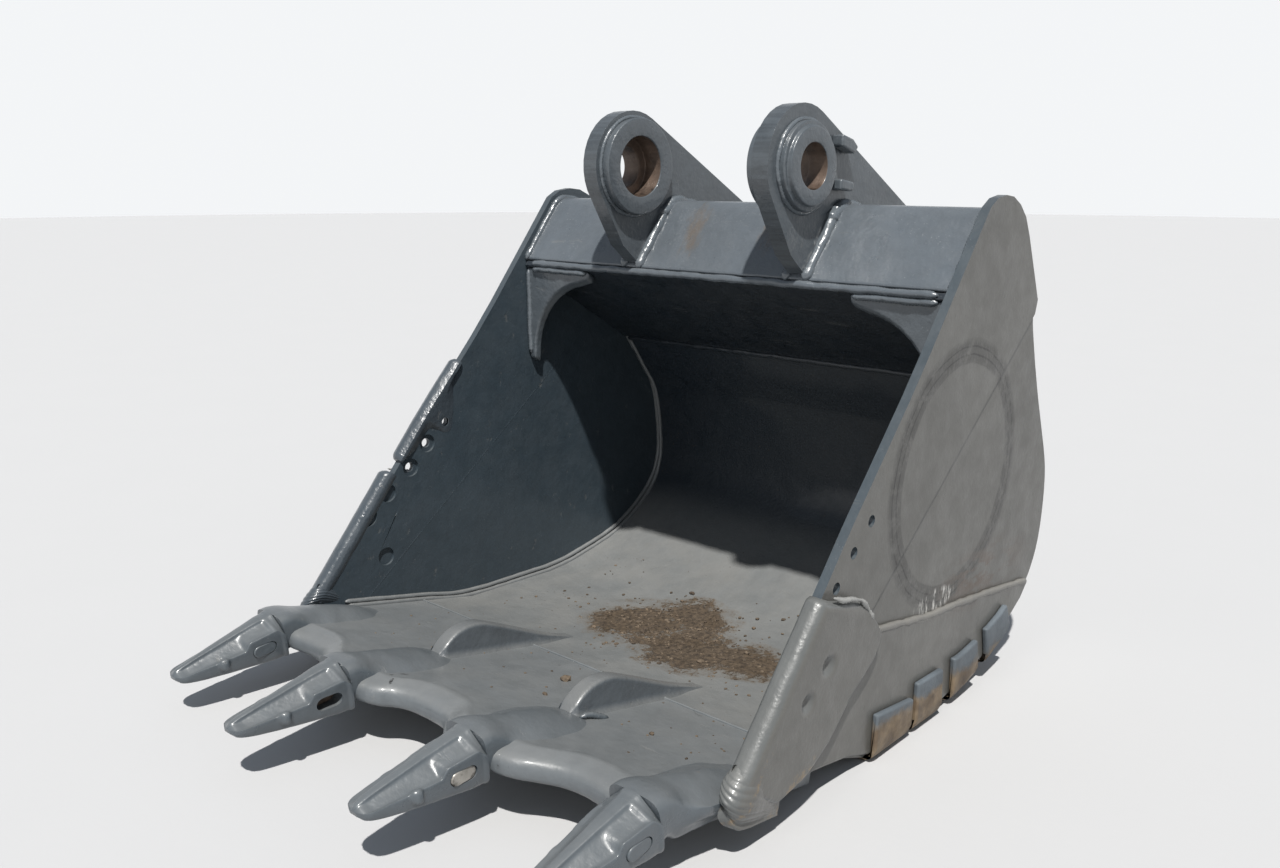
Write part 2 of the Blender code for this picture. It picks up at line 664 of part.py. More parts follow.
def add_tooth(name, kind, x, parts, cutters):
    matrix = tooth_frame(kind, x)
    collar = (LIP_REAR.x - COLLAR_Y[kind]) / math.cos(LIP_SLOPE)
    reach = collar - 0.010
    slot = LIP_FRONT[kind] + 2 * GAP
    back = 0.287 if kind == "centre" else 0.205
    under = 0.330 if kind == "centre" else 0.300
    body = [(reach, 0.023), (reach - 0.080, 0.0255), (back + 0.030, 0.023), (back, 0.016),
            (back, GAP), (slot, GAP), (slot, -LIP_THICK - GAP), (under, -LIP_THICK - GAP),
            (under + 0.010, -0.060), (reach - 0.060, -0.068), (reach - 0.014, -0.066)]
    sign = math.copysign(1, x)
    outer = min(abs(x) + LEG_WIDTH / 2, BAR_IN - 0.0125)
    legs = side_range(sign, abs(x) - LEG_WIDTH / 2, outer)
    mesh = side_plate_shape(lip_profile(body), *legs)
    adapter = add_mesh("tooth_adapter_" + name, mesh, (PAINT, 0.45), parts)
    helper = add_mesh("nose_" + name, loft(tooth_rings(matrix, NOSE)), None, cutters)
    helper.hide_render = True
    helper.display_type = "WIRE"
    join = adapter.modifiers.new("nose", "BOOLEAN")
    join.operation = "UNION"
    join.object = helper

    tip = add_mesh("tooth_tip_" + name, loft(tooth_rings(matrix, TIP)), (PAINT, 0.4), parts)
    cut(tip, add_mesh("pocket_" + name, loft(tooth_rings(matrix, POCKET)), None, cutters))
    pin_way = add_mesh("pin_way_" + name, pin_mesh(matrix, 0.160, 0.0006), None, cutters)
    cut(tip, pin_way)
    cut(adapter, pin_way)
    add_mesh("tooth_pin_" + name, pin_mesh(matrix, 0.100, 0.0), (BARE, 0.5), parts)


def add_floor_ribs(parts):
    """Tapered ribs on the floor, behind the centre teeth."""
    crest = smooth([(0.272, 0.014), (0.245, 0.047), (0.205, 0.066), (0.160, 0.070),
                    (0.110, 0.062), (0.050, 0.044), (-0.030, 0.022), (-0.105, 0.007)], 2)
    outline = [(0.276, GAP)] + [tuple(p) for p in crest] + [(-0.138, GAP)]
    for name, x in {"left": -0.206, "right": 0.206}.items():
        mesh = side_plate_shape(lip_profile(outline), x - 0.024, x + 0.024)
        add_mesh("floor_rib_" + name, mesh, (PAINT, 0.45), parts)


# ---- hanger -------------------------------------------------------------------------------
def ear_outline():
    """Hanger ear: nose round the front pin, straight back to the rear pin, feet on the tube."""
    upper = belt(FRONT_PIN, FRONT_NOSE, REAR_PIN, REAR_NOSE)
    outline = arc(FRONT_PIN, FRONT_NOSE, 205, upper, 14)
    outline += arc(REAR_PIN, REAR_NOSE, upper, -100, 14)
    outline += [Vector((0.488, 0.800))]
    seat = offset(tube_path() + [Vector(BACK_FOOT)], GAP)
    seat = [p for p in seat if p.y > 0.790]
    last = Vector(TUBE_HEEL).lerp(Vector(BACK_FOOT), 0.33)
    outline += [last + Vector((GAP * 1.5, 0))]
    outline += list(reversed(seat[1:]))
    outline += [Vector(TUBE_FRONT) + Vector((0.0045, 0.0140)), Vector((0.051, 0.968)),
                Vector((0.012, 1.034))]
    return outline


def add_ears(parts):
    for name, sign in SIDES.items():
        low, high = side_range(sign, EAR_IN[name], EAR_IN[name] + EAR_THICK)
        holes = [circle(FRONT_PIN, FRONT_BODY + HUB_PLAY, HUB_STEPS),
                 circle(REAR_PIN, REAR_BODY + HUB_PLAY, HUB_STEPS)]
        mesh = side_plate_shape(ear_outline(), low, high, holes)
        add_mesh("ear_" + name, mesh, (PAINT, 0.4), parts)


def hub(end, side, pin, flange, body, bore, counterbore, look, parts):
    """Pin hub: flange on the ear's inner face, body through the ear and stepped outside."""
    face = EAR_IN[side] - GAP
    shoulder = HUB_IN + 0.054
    step = HUB_OUT - 0.010
    profile = [(counterbore, -HUB_IN), (flange - 0.003, -HUB_IN), (flange, -HUB_IN - 0.006),
               (flange, -face), (body, -face), (body, -step), (body - 0.010, -step),
               (body - 0.012, -HUB_OUT), (bore, -HUB_OUT), (bore, -shoulder),
               (counterbore, -shoulder)]
    piece = turned("%s_hub_%s" % (end, side), profile, look, parts)
    piece.rotation_euler = (0, math.radians(-90 if SIDES[side] > 0 else 90), 0)
    piece.location = (0, *pin)


def add_hubs(parts):
    flanges = {"left": (0.113, 0.098), "right": (0.100, 0.090)}
    for side, (front, rear) in flanges.items():
        hub("front", side, FRONT_PIN, front, FRONT_BODY, 0.049, 0.071, (PAINT, 0.4), parts)
        hub("rear", side, REAR_PIN, rear, REAR_BODY, 0.044, 0.062, (WORN, 0.6), parts)


def add_pin_keeper(parts):
    """Two small blocks behind the right front hub, which hold the pin's keeper bolt."""
    low = EAR_IN["right"] + EAR_THICK + GAP
    blocks = {"upper": [(0.188, 1.196), (0.240, 1.180), (0.252, 1.196), (0.232, 1.212),
                        (0.190, 1.222)],
              "lower": [(0.186, 1.104), (0.238, 1.100), (0.240, 1.120), (0.190, 1.128)]}
    for name, outline in blocks.items():
        mesh = side_plate_shape(outline, low, low + 0.030)
        add_mesh("pin_keeper_block_" + name, mesh, (PAINT, 0.5), parts)


def build():
    clear_scene()
    parts = collection("excavator_bucket")
    cutters = collection("cutters")
    add_wrap(parts)
    add_torque_tube(parts)
    add_back_plates(parts)
    add_diaphragms(parts)
    add_gussets(parts)
    add_side_bars(parts, cutters)
    add_side_plates(parts)
    add_side_wear_plates(parts)
    add_side_shrouds(parts)
    add_edge_protector(parts, cutters)
    add_heel_shrouds(parts)
    add_bottom_strips(parts)
    add_lip(parts)
    for name, x in TOOTH_X.items():
        add_tooth(name, name.split("_")[1], x, parts, cutters)
    add_floor_ribs(parts)
    add_ears(parts)
    add_hubs(parts)
    add_pin_keeper(parts)


build()
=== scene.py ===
"""Looks of the excavator bucket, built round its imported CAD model.

Row frame, in metres: X across the mouth, -Y out of the mouth, Z up, floor at Z = 0.
Plates keep the CAD outline and get rolled edges; castings, teeth and welds are modelled here.
"""
import math
import random

import bmesh
import bpy
from mathutils import Matrix, Vector, noise


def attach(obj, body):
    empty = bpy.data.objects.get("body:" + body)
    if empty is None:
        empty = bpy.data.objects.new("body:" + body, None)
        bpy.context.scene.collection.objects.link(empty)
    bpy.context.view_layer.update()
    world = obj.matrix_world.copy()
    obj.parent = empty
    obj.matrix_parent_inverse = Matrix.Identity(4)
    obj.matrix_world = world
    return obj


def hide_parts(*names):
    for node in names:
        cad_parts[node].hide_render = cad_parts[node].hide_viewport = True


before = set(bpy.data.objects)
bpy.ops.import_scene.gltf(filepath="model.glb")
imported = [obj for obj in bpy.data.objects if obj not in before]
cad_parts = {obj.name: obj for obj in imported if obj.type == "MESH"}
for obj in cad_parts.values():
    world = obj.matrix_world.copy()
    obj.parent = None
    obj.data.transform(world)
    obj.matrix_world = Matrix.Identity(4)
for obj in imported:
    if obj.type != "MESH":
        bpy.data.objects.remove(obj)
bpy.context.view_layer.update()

# ---- dimensions shared with the CAD source ----
LIP_REAR = Vector((-0.300, 0.059))
LIP_RISE = 0.189
LIP_SLOPE = math.atan(LIP_RISE)
BAR_IN = 0.630
BAR_OUT = 0.650
BAR_MIDDLE = 0.640
EDGE_POINT = Vector((-0.350, 0.404))
EDGE_NORMAL = Vector((0.773, -0.635))
EDGE_LEAN = 0.826
SIDE_TAPER = 0.040
LEADING_EDGE = [(-0.600, 0.105), (-0.400, 0.347), (-0.250, 0.530), (-0.080, 0.722),
                (0.060, 0.895), (0.198, 1.074)]
WRAP_INSIDE = [(-0.300, 0.059), (-0.148, 0.0303), (0.090, 0.0303), (0.150, 0.0325),
               (0.250, 0.048), (0.417, 0.096), (0.545, 0.186), (0.592, 0.270),
               (0.598, 0.360), (0.579, 0.492), (0.527, 0.578), (0.464, 0.674)]
TUBE_SEAT = [(0.097, 0.912), (0.150, 0.981), (0.199, 1.045), (0.221, 1.065), (0.255, 1.072),
             (0.322, 1.053), (0.345, 1.040), (0.400, 0.960), (0.455, 0.868)]
EAR_IN = {"left": 0.220, "right": 0.232}
EAR_THICK = 0.042
HUB_IN = 0.196
HUB_OUT = 0.301
FRONT_BODY = 0.095
REAR_BODY = 0.078
FRONT_PIN = (0.090, 1.154)
REAR_PIN = (0.545, 0.925)
TEETH = {"left_corner": ("corner", -0.568), "left_centre": ("centre", -0.210),
         "right_centre": ("centre", 0.210), "right_corner": ("corner", 0.568)}
COLLAR_Y = {"corner": -0.745, "centre": -0.806}
TOOTH_PITCH = {"corner": math.radians(8.5), "centre": math.radians(5.0)}
COLLAR_HEIGHT = 0.092
TIP_LENGTH = 0.240
PIN_FORWARD = 0.052
SIDES = {"left": -1, "right": 1}


# ---- node materials ----
class Shader:
    """A node material under construction; each call adds a node and returns its output."""

    def __init__(self, name):
        self.mat = bpy.data.materials.new(name)
        self.mat.use_nodes = True
        self.tree = self.mat.node_tree
        self.out = self.tree.nodes["Principled BSDF"]
        self.place = self.node("TexCoord").outputs["Object"]
        self.normal = self.node("NewGeometry").outputs["Normal"]

    def link(self, value, socket):
        if isinstance(value, bpy.types.NodeSocket):
            self.tree.links.new(value, socket)
        else:
            socket.default_value = value

    def node(self, kind, **values):
        """New node, with its named inputs set to numbers or linked to other nodes."""
        node = self.tree.nodes.new("ShaderNode" + kind)
        for name, value in values.items():
            self.link(value, node.inputs[name.replace("_", " ")])
        return node

    def noise(self, scale, detail=4.0, rough=0.55, stretch=None, distort=0.0):
        place = self.place
        if stretch:
            place = self.node("Mapping", Scale=stretch, Vector=place).outputs["Vector"]
        node = self.node("TexNoise", Scale=scale, Detail=detail, Roughness=rough,
                         Distortion=distort, Vector=place)
        return node.outputs["Fac"]

    def cells(self, scale):
        return self.node("TexVoronoi", Scale=scale, Vector=self.place).outputs["Distance"]

    def ramp(self, value, low, high, start=0.0, end=1.0):
        node = self.node("MapRange", Value=value, From_Min=low, From_Max=high, To_Min=start,
                         To_Max=end)
        node.interpolation_type = "SMOOTHSTEP"
        return node.outputs["Result"]

    def math(self, kind, a, b=0.0):
        node = self.node("Math")
        node.operation = kind
        self.link(a, node.inputs[0])
        self.link(b, node.inputs[1])
        return node.outputs["Value"]

    def plus(self, a, b):
        return self.math("ADD", a, b)

    def minus(self, a, b):
        return self.math("SUBTRACT", a, b)

    def times(self, a, b):
        return self.math("MULTIPLY", a, b)

    def mix(self, factor, a, b):
        node = self.node("Mix")
        node.data_type = "RGBA"
        self.link(factor, node.inputs["Factor"])
        for value, socket in ((a, node.inputs[6]), (b, node.inputs[7])):
            if not isinstance(value, bpy.types.NodeSocket):
                value = (*value, 1.0)
            self.link(value, socket)
        return node.outputs[2]

    def vector(self, kind, a, b):
        node = self.node("VectorMath")
        node.operation = kind
        self.link(a, node.inputs[0])
        self.link(b, node.inputs[1])
        return node.outputs["Value" if kind in ("DOT_PRODUCT", "LENGTH") else "Vector"]

    def shade(self, colour, amount):
        """Colour multiplied by a number."""
        node = self.node("VectorMath")
        node.operation = "SCALE"
        self.link(colour, node.inputs["Vector"])
        self.link(amount, node.inputs["Scale"])
        return node.outputs["Vector"]

    def split(self, vector):
        return self.node("SeparateXYZ", Vector=vector).outputs

    def near(self, x, y, z, radii):
        """1 at the point, falling to 0 on the ellipsoid with these radii."""
        scaled = self.vector("DIVIDE", self.vector("SUBTRACT", self.place, (x, y, z)), radii)
        return self.ramp(self.vector("LENGTH", scaled, (0, 0, 0)), 0.0, 1.0, 1.0, 0.0)

    def finish(self, colour, roughness, bump, distance=0.001, metallic=0.0, coat=0.0):
        relief = self.node("Bump", Strength=1.0, Distance=distance, Height=bump)
        values = {"Base Color": colour, "Roughness": roughness, "Metallic": metallic,
                  "Coat Weight": coat, "Coat Roughness": 0.12, "Normal": relief.outputs["Normal"]}
        for name, value in values.items():
            self.link(value, self.out.inputs[name])
        return self.mat


ENAMEL = (0.079, 0.094, 0.107)
DUST = (0.198, 0.191, 0.175)
PALE_SPECK = (0.277, 0.277, 0.271)
CHIP = (0.017, 0.016, 0.015)
TAN = (0.178, 0.132, 0.092)
# outer faces' warm grey: dust, and painted light bounced from the ground
OUTER_DUST_AND_BOUNCE = (0.078, 0.077, 0.071)
# painted shade colour for the bowl's inner wall
BOWL_SHADE_NAVY = (0.009, 0.015, 0.022)
RING_CENTRE = (0.150, 0.530)
SOIL_PATCHES = [(-0.130, 0.020, 0.24, 0.22), (0.050, -0.020, 0.26, 0.20),
                (0.200, 0.020, 0.19, 0.15), (-0.060, 0.140, 0.20, 0.14)]


def enamel(name, base=ENAMEL, dust=0.5, peel=1.0, gloss=0.30, marks=None):
    """Thick sprayed enamel over rough steel, with dust on what faces up and rusty wear."""
    s = Shader(name)
    tone = s.ramp(s.noise(2.6, 5.0), 0.30, 0.72, 0.93, 1.08)
    fine = s.ramp(s.noise(38.0, 4.0), 0.30, 0.70, 0.95, 1.05)
    colour = s.shade(s.shade(base, tone), fine)
    up = s.split(s.normal)[2]
    drift = s.ramp(s.noise(7.0, 8.0, 0.65), 0.30, 0.70, 0.62, 1.0)
    settle = s.times(s.times(s.ramp(up, 0.25, 0.95), drift), dust)
    colour = s.mix(settle, colour, DUST)
    scuff = s.ramp(s.noise(16.0, 6.0, 0.7, (0.35, 2.2, 1.6)), 0.62, 0.70)
    colour = s.mix(s.times(scuff, 0.20), colour, DUST)
    speck = s.ramp(s.cells(150.0), 0.0, 0.16, 1.0, 0.0)
    speck = s.times(speck, s.ramp(s.noise(24.0, 3.0), 0.56, 0.66))
    colour = s.mix(s.times(speck, 0.55), colour, PALE_SPECK)
    if marks:
        colour = marks(s, colour)
    rough = s.ramp(s.noise(20.0, 4.0), 0.25, 0.75, gloss, gloss + 0.22)
    rough = s.plus(rough, s.times(settle, 0.35))
    height = s.times(s.noise(95.0, 3.0), 0.45 * peel)
    height = s.plus(height, s.times(s.noise(17.0, 3.0), 1.1 * peel))
    height = s.plus(height, s.times(scuff, -0.18))
    return s.finish(colour, rough, height, 0.0022, coat=0.25)


def outer_bounce_and_scuffs(s, colour):
    """Outer faces lighter and warmer, partly dust and partly painted ground-bounce light; on the right
    one worn rings, scratches and brown rubbing.
    """
    x, y, z = s.split(s.place)
    outward = s.times(s.math("SIGN", x), s.split(s.normal)[0])
    tone = s.ramp(s.noise(3.0, 6.0), 0.3, 0.7, 0.88, 1.12)
    # outer faces lighter and warmer: dust, and painted light bounced up from the ground
    colour = s.mix(s.ramp(outward, 0.1, 0.6), colour, s.shade(OUTER_DUST_AND_BOUNCE, tone))
    ahead, up = s.minus(y, RING_CENTRE[0]), s.minus(z, RING_CENTRE[1])
    radius = s.math("SQRT", s.plus(s.math("POWER", ahead, 2.0), s.math("POWER", up, 2.0)))
    radius = s.plus(radius, s.times(s.noise(9.0, 3.0), 0.012))
    rings = s.ramp(s.math("PINGPONG", s.times(radius, 60.0), 0.5), 0.30, 0.48)
    band = s.times(s.ramp(radius, 0.236, 0.248), s.ramp(radius, 0.280, 0.296, 1.0, 0.0))
    broken = s.ramp(s.noise(34.0, 6.0, 0.75), 0.34, 0.54, 0.25, 1.0)
    ring = s.times(s.times(band, broken), s.ramp(rings, 0.0, 1.0, 0.60, 1.0))
    right = s.times(s.ramp(outward, 0.1, 0.6), s.ramp(x, 0.0, 0.1))
    ring = s.times(ring, right)
    colour = s.mix(ring, colour, (0.008, 0.007, 0.006))
    rub = s.ramp(s.noise(11.0, 7.0, 0.7, (1.0, 0.6, 2.4)), 0.46, 0.54)
    rub = s.times(rub, s.near(0.625, 0.320, 0.270, (0.3, 0.30, 0.09)))
    colour = s.mix(s.times(rub, right), colour, (0.060, 0.042, 0.030))
    scratch = s.ramp(s.noise(60.0, 5.0, 0.7, (1.0, 2.2, 0.30)), 0.53, 0.60)
    where = s.ramp(s.near(0.640, 0.100, 0.266, (0.3, 0.13, 0.040)), 0.1, 0.5)
    scratch = s.times(scratch, where)
    return s.mix(s.times(scratch, right), colour, (0.409, 0.403, 0.383))


def shaded_wall_and_soil(s, colour):
    """Painted shade on the bowl's inner wall, darkened to navy above the floor over darker, less dusty
    paint; and loose brown soil on the floor with dust round it and crumbs.
    """
    # painted shade: inner faces above the floor line go near-black navy, as the bowl's back lies in
    # shadow
    towards = s.vector("SUBTRACT", (0.0, 0.20, 0.50), s.place)
    inside = s.ramp(s.vector("DOT_PRODUCT", towards, s.normal), 0.0, 0.05)
    wall = s.ramp(s.split(s.place)[2], 0.11, 0.24)
    colour = s.mix(s.times(inside, wall), colour, BOWL_SHADE_NAVY)
    spread = 0.0
    for x, y, wide, deep in SOIL_PATCHES:
        spread = s.math("MAXIMUM", spread, s.near(x, y, 0.03, (wide, deep, 0.3)))
    ragged = s.times(s.minus(s.noise(11.0, 12.0, 0.85), 0.5), 3.4)
    ragged = s.times(s.ramp(spread, 0.0, 0.22), s.plus(ragged, 0.70))
    ragged = s.plus(spread, ragged)
    colour = s.mix(s.ramp(ragged, 0.75, 1.35, 0.0, 0.75), colour, (0.105, 0.090, 0.072))
    clods = s.mix(s.ramp(s.noise(90.0, 8.0, 0.8), 0.35, 0.65), (0.022, 0.016, 0.011),
                  (0.095, 0.070, 0.046))
    colour = s.mix(s.ramp(ragged, 1.15, 1.27), colour, clods)
    crumb = s.ramp(s.cells(55.0), 0.05, 0.13, 1.0, 0.0)
    few = s.ramp(s.noise(6.0, 5.0), 0.52, 0.62)
    colour = s.mix(s.times(crumb, few), colour, (0.050, 0.038, 0.028))
    return colour


def chipped(s, colour):
    """Dark bare patches with a ragged edge on the lip and the castings."""
    patch = s.ramp(s.noise(12.0, 9.0, 0.78, None, 1.5), 0.655, 0.685)
    colour = s.mix(patch, colour, CHIP)
    tan = s.ramp(s.noise(7.5, 9.0, 0.8), 0.66, 0.74)
    return s.mix(s.times(tan, 0.6), colour, TAN)


def foot_rust(s, colour):
    """Warm cheek, partly dust and partly painted ground-bounce light; yellow-brown flecks low down behind
    the nose and on the rear edge.
    """
    x, y, z = s.split(s.place)
    flat = s.ramp(s.times(s.math("SIGN", x), s.split(s.normal)[0]), 0.80, 0.97)
    # the flat outward cheek takes the outer grey: dust with painted bounce light
    colour = s.mix(flat, colour, OUTER_DUST_AND_BOUNCE)
    ahead = s.minus(s.times(y, 0.773), s.times(z, 0.635))
    apart = s.math("ABSOLUTE", s.times(s.plus(ahead, 0.520), 60.0))
    nose = s.minus(1.0, apart)
    nose = s.times(s.ramp(nose, 0.0, 0.8), s.ramp(z, 0.12, 0.30, 0.30, 0.0))
    heel = s.times(s.ramp(ahead, -0.480, -0.380), s.ramp(z, 0.06, 0.17, 0.42, 0.0))
    rust = s.plus(s.plus(nose, heel), s.noise(45.0, 8.0, 0.8))
    return s.mix(s.times(s.ramp(rust, 0.77, 0.84), 0.75), colour, (0.150, 0.108, 0.062))


def flame_cut(s, colour):
    """Darker thick edge with the ripples of a gas cut."""
    across = s.math("ABSOLUTE", s.split(s.normal)[0])
    edge = s.ramp(across, 0.35, 0.70, 1.0, 0.0)
    line = s.ramp(s.noise(120.0, 3.0, 0.6, (0.05, 1.0, 1.0)), 0.40, 0.62)
    return s.mix(s.times(edge, s.times(line, 0.5)), colour, (0.030, 0.034, 0.038))


def rust_streaks(s, colour):
    """Brown runs over the tube between the ears."""
    run = s.noise(22.0, 9.0, 0.78, (1.0, 0.30, 0.30))
    left = s.near(-0.100, 0.190, 1.02, (0.11, 0.30, 0.22))
    right = s.near(0.130, 0.220, 1.02, (0.08, 0.30, 0.22))
    where = s.math("MAXIMUM", left, right)
    amount = s.ramp(s.plus(s.times(run, 3.0), where), 2.15, 2.75, 0.0, 0.65)
    colour = s.mix(amount, colour, (0.098, 0.076, 0.056))
    spots = s.ramp(s.cells(120.0), 0.05, 0.22, 1.0, 0.0)
    spots = s.times(spots, s.ramp(s.noise(9.0, 6.0, 0.7), 0.50, 0.60))
    return s.mix(s.times(spots, 0.5), colour, (0.230, 0.240, 0.245))


def worn_shroud(name, height=0.085):
    """Ground-contact casting: enamel on top, rubbed to tan rust on what it drags on."""
    s = Shader(name)
    z = s.split(s.place)[2]
    base = s.shade(ENAMEL, s.ramp(s.noise(8.0, 5.0), 0.3, 0.7, 0.85, 1.15))
    low = s.plus(s.times(s.minus(height, z), 9.0), s.noise(14.0, 7.0, 0.7))
    rust = s.mix(s.ramp(s.noise(26.0, 6.0), 0.36, 0.64), (0.088, 0.062, 0.039), (0.168, 0.124, 0.078))
    colour = s.mix(s.ramp(low, 0.42, 0.66), base, rust)
    dirt = s.ramp(s.noise(9.0, 8.0, 0.75), 0.58, 0.66)
    colour = s.mix(s.times(dirt, 0.7), colour, (0.033, 0.026, 0.021))
    relief = s.plus(s.noise(60.0, 6.0), s.times(s.noise(12.0, 4.0), 1.4))
    return s.finish(colour, s.ramp(s.noise(20.0), 0.3, 0.7, 0.55, 0.80), relief, 0.002)


def bore_steel(name, base=(0.105, 0.074, 0.056)):
    """Bare machined steel with turning marks and old grease."""
    s = Shader(name)
    grease = s.ramp(s.noise(14.0, 6.0, 0.7), 0.50, 0.66)
    colour = s.mix(grease, s.shade(base, s.ramp(s.noise(30.0), 0.3, 0.7, 0.8, 1.2)),
                   (0.020, 0.015, 0.012))
    height = s.plus(s.noise(180.0, 2.0, 0.5, (4.0, 0.4, 0.4)), s.noise(22.0, 4.0))
    return s.finish(colour, s.ramp(s.noise(24.0), 0.3, 0.7, 0.32, 0.58), height, 0.0008, 0.35)


def soil_look(name):
    """Dry brown earth."""
    s = Shader(name)
    colour = s.mix(s.ramp(s.noise(45.0, 6.0), 0.35, 0.65), (0.040, 0.029, 0.020), (0.125, 0.094, 0.064))
    return s.finish(colour, 0.9, s.noise(300.0, 4.0), 0.001)


LOOKS = {
    "shell": enamel("shell_enamel", dust=0.30),
    # inner: near-black navy is painted shade on the bowl's shaded back plate and diaphragms, over the
    # same paint with little dust
    "inner": enamel("inner_shade_enamel", (0.010, 0.015, 0.021), dust=0.05, gloss=0.34),
    # floor look: its marks paint shade on the wall above the floor, besides the soil
    "floor": enamel("floor_enamel", (0.078, 0.090, 0.098), dust=0.50, gloss=0.40, marks=shaded_wall_and_soil),
    "lip": enamel("lip_enamel", (0.092, 0.103, 0.111), dust=0.30, peel=0.7, marks=chipped),
    "casting": enamel("casting_enamel", (0.065, 0.077, 0.087), dust=0.22, peel=0.8, gloss=0.24,
                      marks=chipped),
    "hanger": enamel("hanger_enamel", (0.061, 0.072, 0.082), dust=0.08, peel=1.4, gloss=0.24),
    "ear": enamel("ear_enamel", (0.056, 0.066, 0.075), dust=0.05, peel=1.2, gloss=0.26,
                  marks=flame_cut),
    "rib": enamel("rib_enamel", (0.068, 0.078, 0.087), dust=0.45, peel=1.2, gloss=0.28),
    "burr": enamel("burr_enamel", (0.210, 0.212, 0.205), dust=0.10, peel=2.0, gloss=0.30),
    "pale_weld": enamel("pale_weld_enamel", (0.120, 0.128, 0.132), dust=0.30, gloss=0.26),
    "dusty_weld": enamel("dusty_weld_enamel", (0.105, 0.102, 0.094), dust=0.40, gloss=0.40),
    "tube": enamel("tube_enamel", (0.074, 0.087, 0.100), dust=0.10, peel=1.2, gloss=0.24,
                   marks=rust_streaks),
    # side: the dark navy base is painted shade on the bowl's inner walls; its marks turn the outward
    # faces a lighter warm grey
    "side": enamel("side_shade_enamel", (0.028, 0.040, 0.050), dust=0.15, peel=0.8, gloss=0.38,
                   marks=outer_bounce_and_scuffs),
    "pale": bore_steel("dusty_pin", (0.304, 0.290, 0.264)),
    "weld": enamel("weld_enamel", (0.078, 0.091, 0.103), dust=0.08, peel=2.0, gloss=0.16),
    "shroud": enamel("shroud_enamel", (0.074, 0.079, 0.079), dust=0.25, gloss=0.30,
                     marks=foot_rust),
    # cap: the shroud enamel darkened to navy slate for the left castings, as painted shade of the side in
    # shadow
    "cap": enamel("left_cap_shade_enamel", (0.040, 0.050, 0.060), dust=0.06, peel=1.4, gloss=0.22),
    "heel": worn_shroud("heel_casting"),
    "bore": bore_steel("bore_steel"),
    "rusty": worn_shroud("rusty_hub", 0.90),
    "soil": soil_look("loose_soil"),
}
SLOTS = {"shell_paint": "shell floor lip side weld rib pale_weld dusty_weld",
         "inner_paint": "inner", "hanger_paint": "hanger tube ear",
         "casting_paint": "casting burr shroud cap", "bare_steel": "pale bore",
         "rusted_steel": "heel rusty soil"}
SLOT_OF = {look: slot for slot, looks in SLOTS.items() for look in looks.split()}


# ---- mesh helpers ----
def piece(name, mesh, look, replaces=(), smooth_angle=40):
    """Finished visible piece: smooth shaded, riding on the root and look."""
    mesh.materials.clear()
    mesh.materials.append(LOOKS[look])
    obj = bpy.data.objects.new(name, mesh)
    bpy.context.scene.collection.objects.link(obj)
    for polygon in mesh.polygons:
        polygon.use_smooth = True
    mesh.set_sharp_from_angle(angle=math.radians(smooth_angle))
    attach(obj, "root")
    if replaces:
        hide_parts(*replaces)
    return obj


def node_mesh(node):
    """A clean polygon mesh with the shape of a CAD node."""
    bm = bmesh.new()
    bm.from_mesh(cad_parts[node].data)
    bmesh.ops.remove_doubles(bm, verts=bm.verts, dist=0.00005)
    bmesh.ops.dissolve_limit(bm, angle_limit=math.radians(1.0), verts=bm.verts, edges=bm.edges)
    mesh = bpy.data.meshes.new(node + "_look")
    bm.verts.index_update()
    mesh.from_pydata([v.co.copy() for v in bm.verts], [],
                     [[v.index for v in f.verts] for f in bm.faces])
    bm.free()
    return mesh


def rolled(node, radius, look):
    """Piece with the CAD node's shape and its edges rounded off."""
    obj = piece(node + "_look", node_mesh(node), look, [node], 60)
    bevel = obj.modifiers.new("rounded_edges", "BEVEL")
    bevel.width = radius
    bevel.segments = 3
    bevel.limit_method = "ANGLE"
    bevel.angle_limit = math.radians(32)
    bevel.miter_outer = "MITER_ARC"
    return obj


def turn(steps):
    """Even angles round a circle."""
    return [2 * math.pi * k / steps for k in range(steps)]


def rim(x, middle, radius, angle):
    """Point on a circle round an axis along X."""
    return Vector((x, middle[0] + radius * math.cos(angle), middle[1] + radius * math.sin(angle)))


def loft(rings, closed_loop=False):
    """Skin over rings of equal count, with flat ends or closed on its first ring."""
    bm = bmesh.new()
    rows = [[bm.verts.new(point) for point in ring] for ring in rings]
    count = len(rings[0])
    following = rows[1:] + rows[:1] if closed_loop else rows[1:]
    for low, high in zip(rows, following):
        for i in range(count):
            j = (i + 1) % count
            bm.faces.new((low[i], low[j], high[j], high[i]))
    if not closed_loop:
        bm.faces.new(list(reversed(rows[0])))
        bm.faces.new(rows[-1])
    bmesh.ops.recalc_face_normals(bm, faces=bm.faces)
    mesh = bpy.data.meshes.new("loft")
    bm.to_mesh(mesh)
    bm.free()
    return mesh


def smooth(points, per_span=5):
    """Catmull-Rom curve through the points."""
    pts = [Vector(p) for p in points]
    pts = [2 * pts[0] - pts[1]] + pts + [2 * pts[-1] - pts[-2]]
    path = []
    for a, b, c, d in zip(pts, pts[1:], pts[2:], pts[3:]):
        for step in range(per_span):
            t = step / per_span
            path.append(0.5 * (2 * b + (c - a) * t + (2 * a - 5 * b + 4 * c - d) * t ** 2
                               + (3 * b - a - 3 * c + d) * t ** 3))
    path.append(pts[-2])
    return path


def spaced(points, step):
    """The same line with points an even step apart."""
    pts = [Vector(p) for p in points]
    lengths = [0.0]
    for a, b in zip(pts, pts[1:]):
        lengths.append(lengths[-1] + (b - a).length)
    count = max(2, int(lengths[-1] / step))
    even = []
    i = 0
    for k in range(count + 1):
        s = lengths[-1] * k / count
        while i < len(pts) - 2 and lengths[i + 1] < s:
            i += 1
        span = max(lengths[i + 1] - lengths[i], 1e-9)
        even.append(pts[i].lerp(pts[i + 1], (s - lengths[i]) / span))
    return even


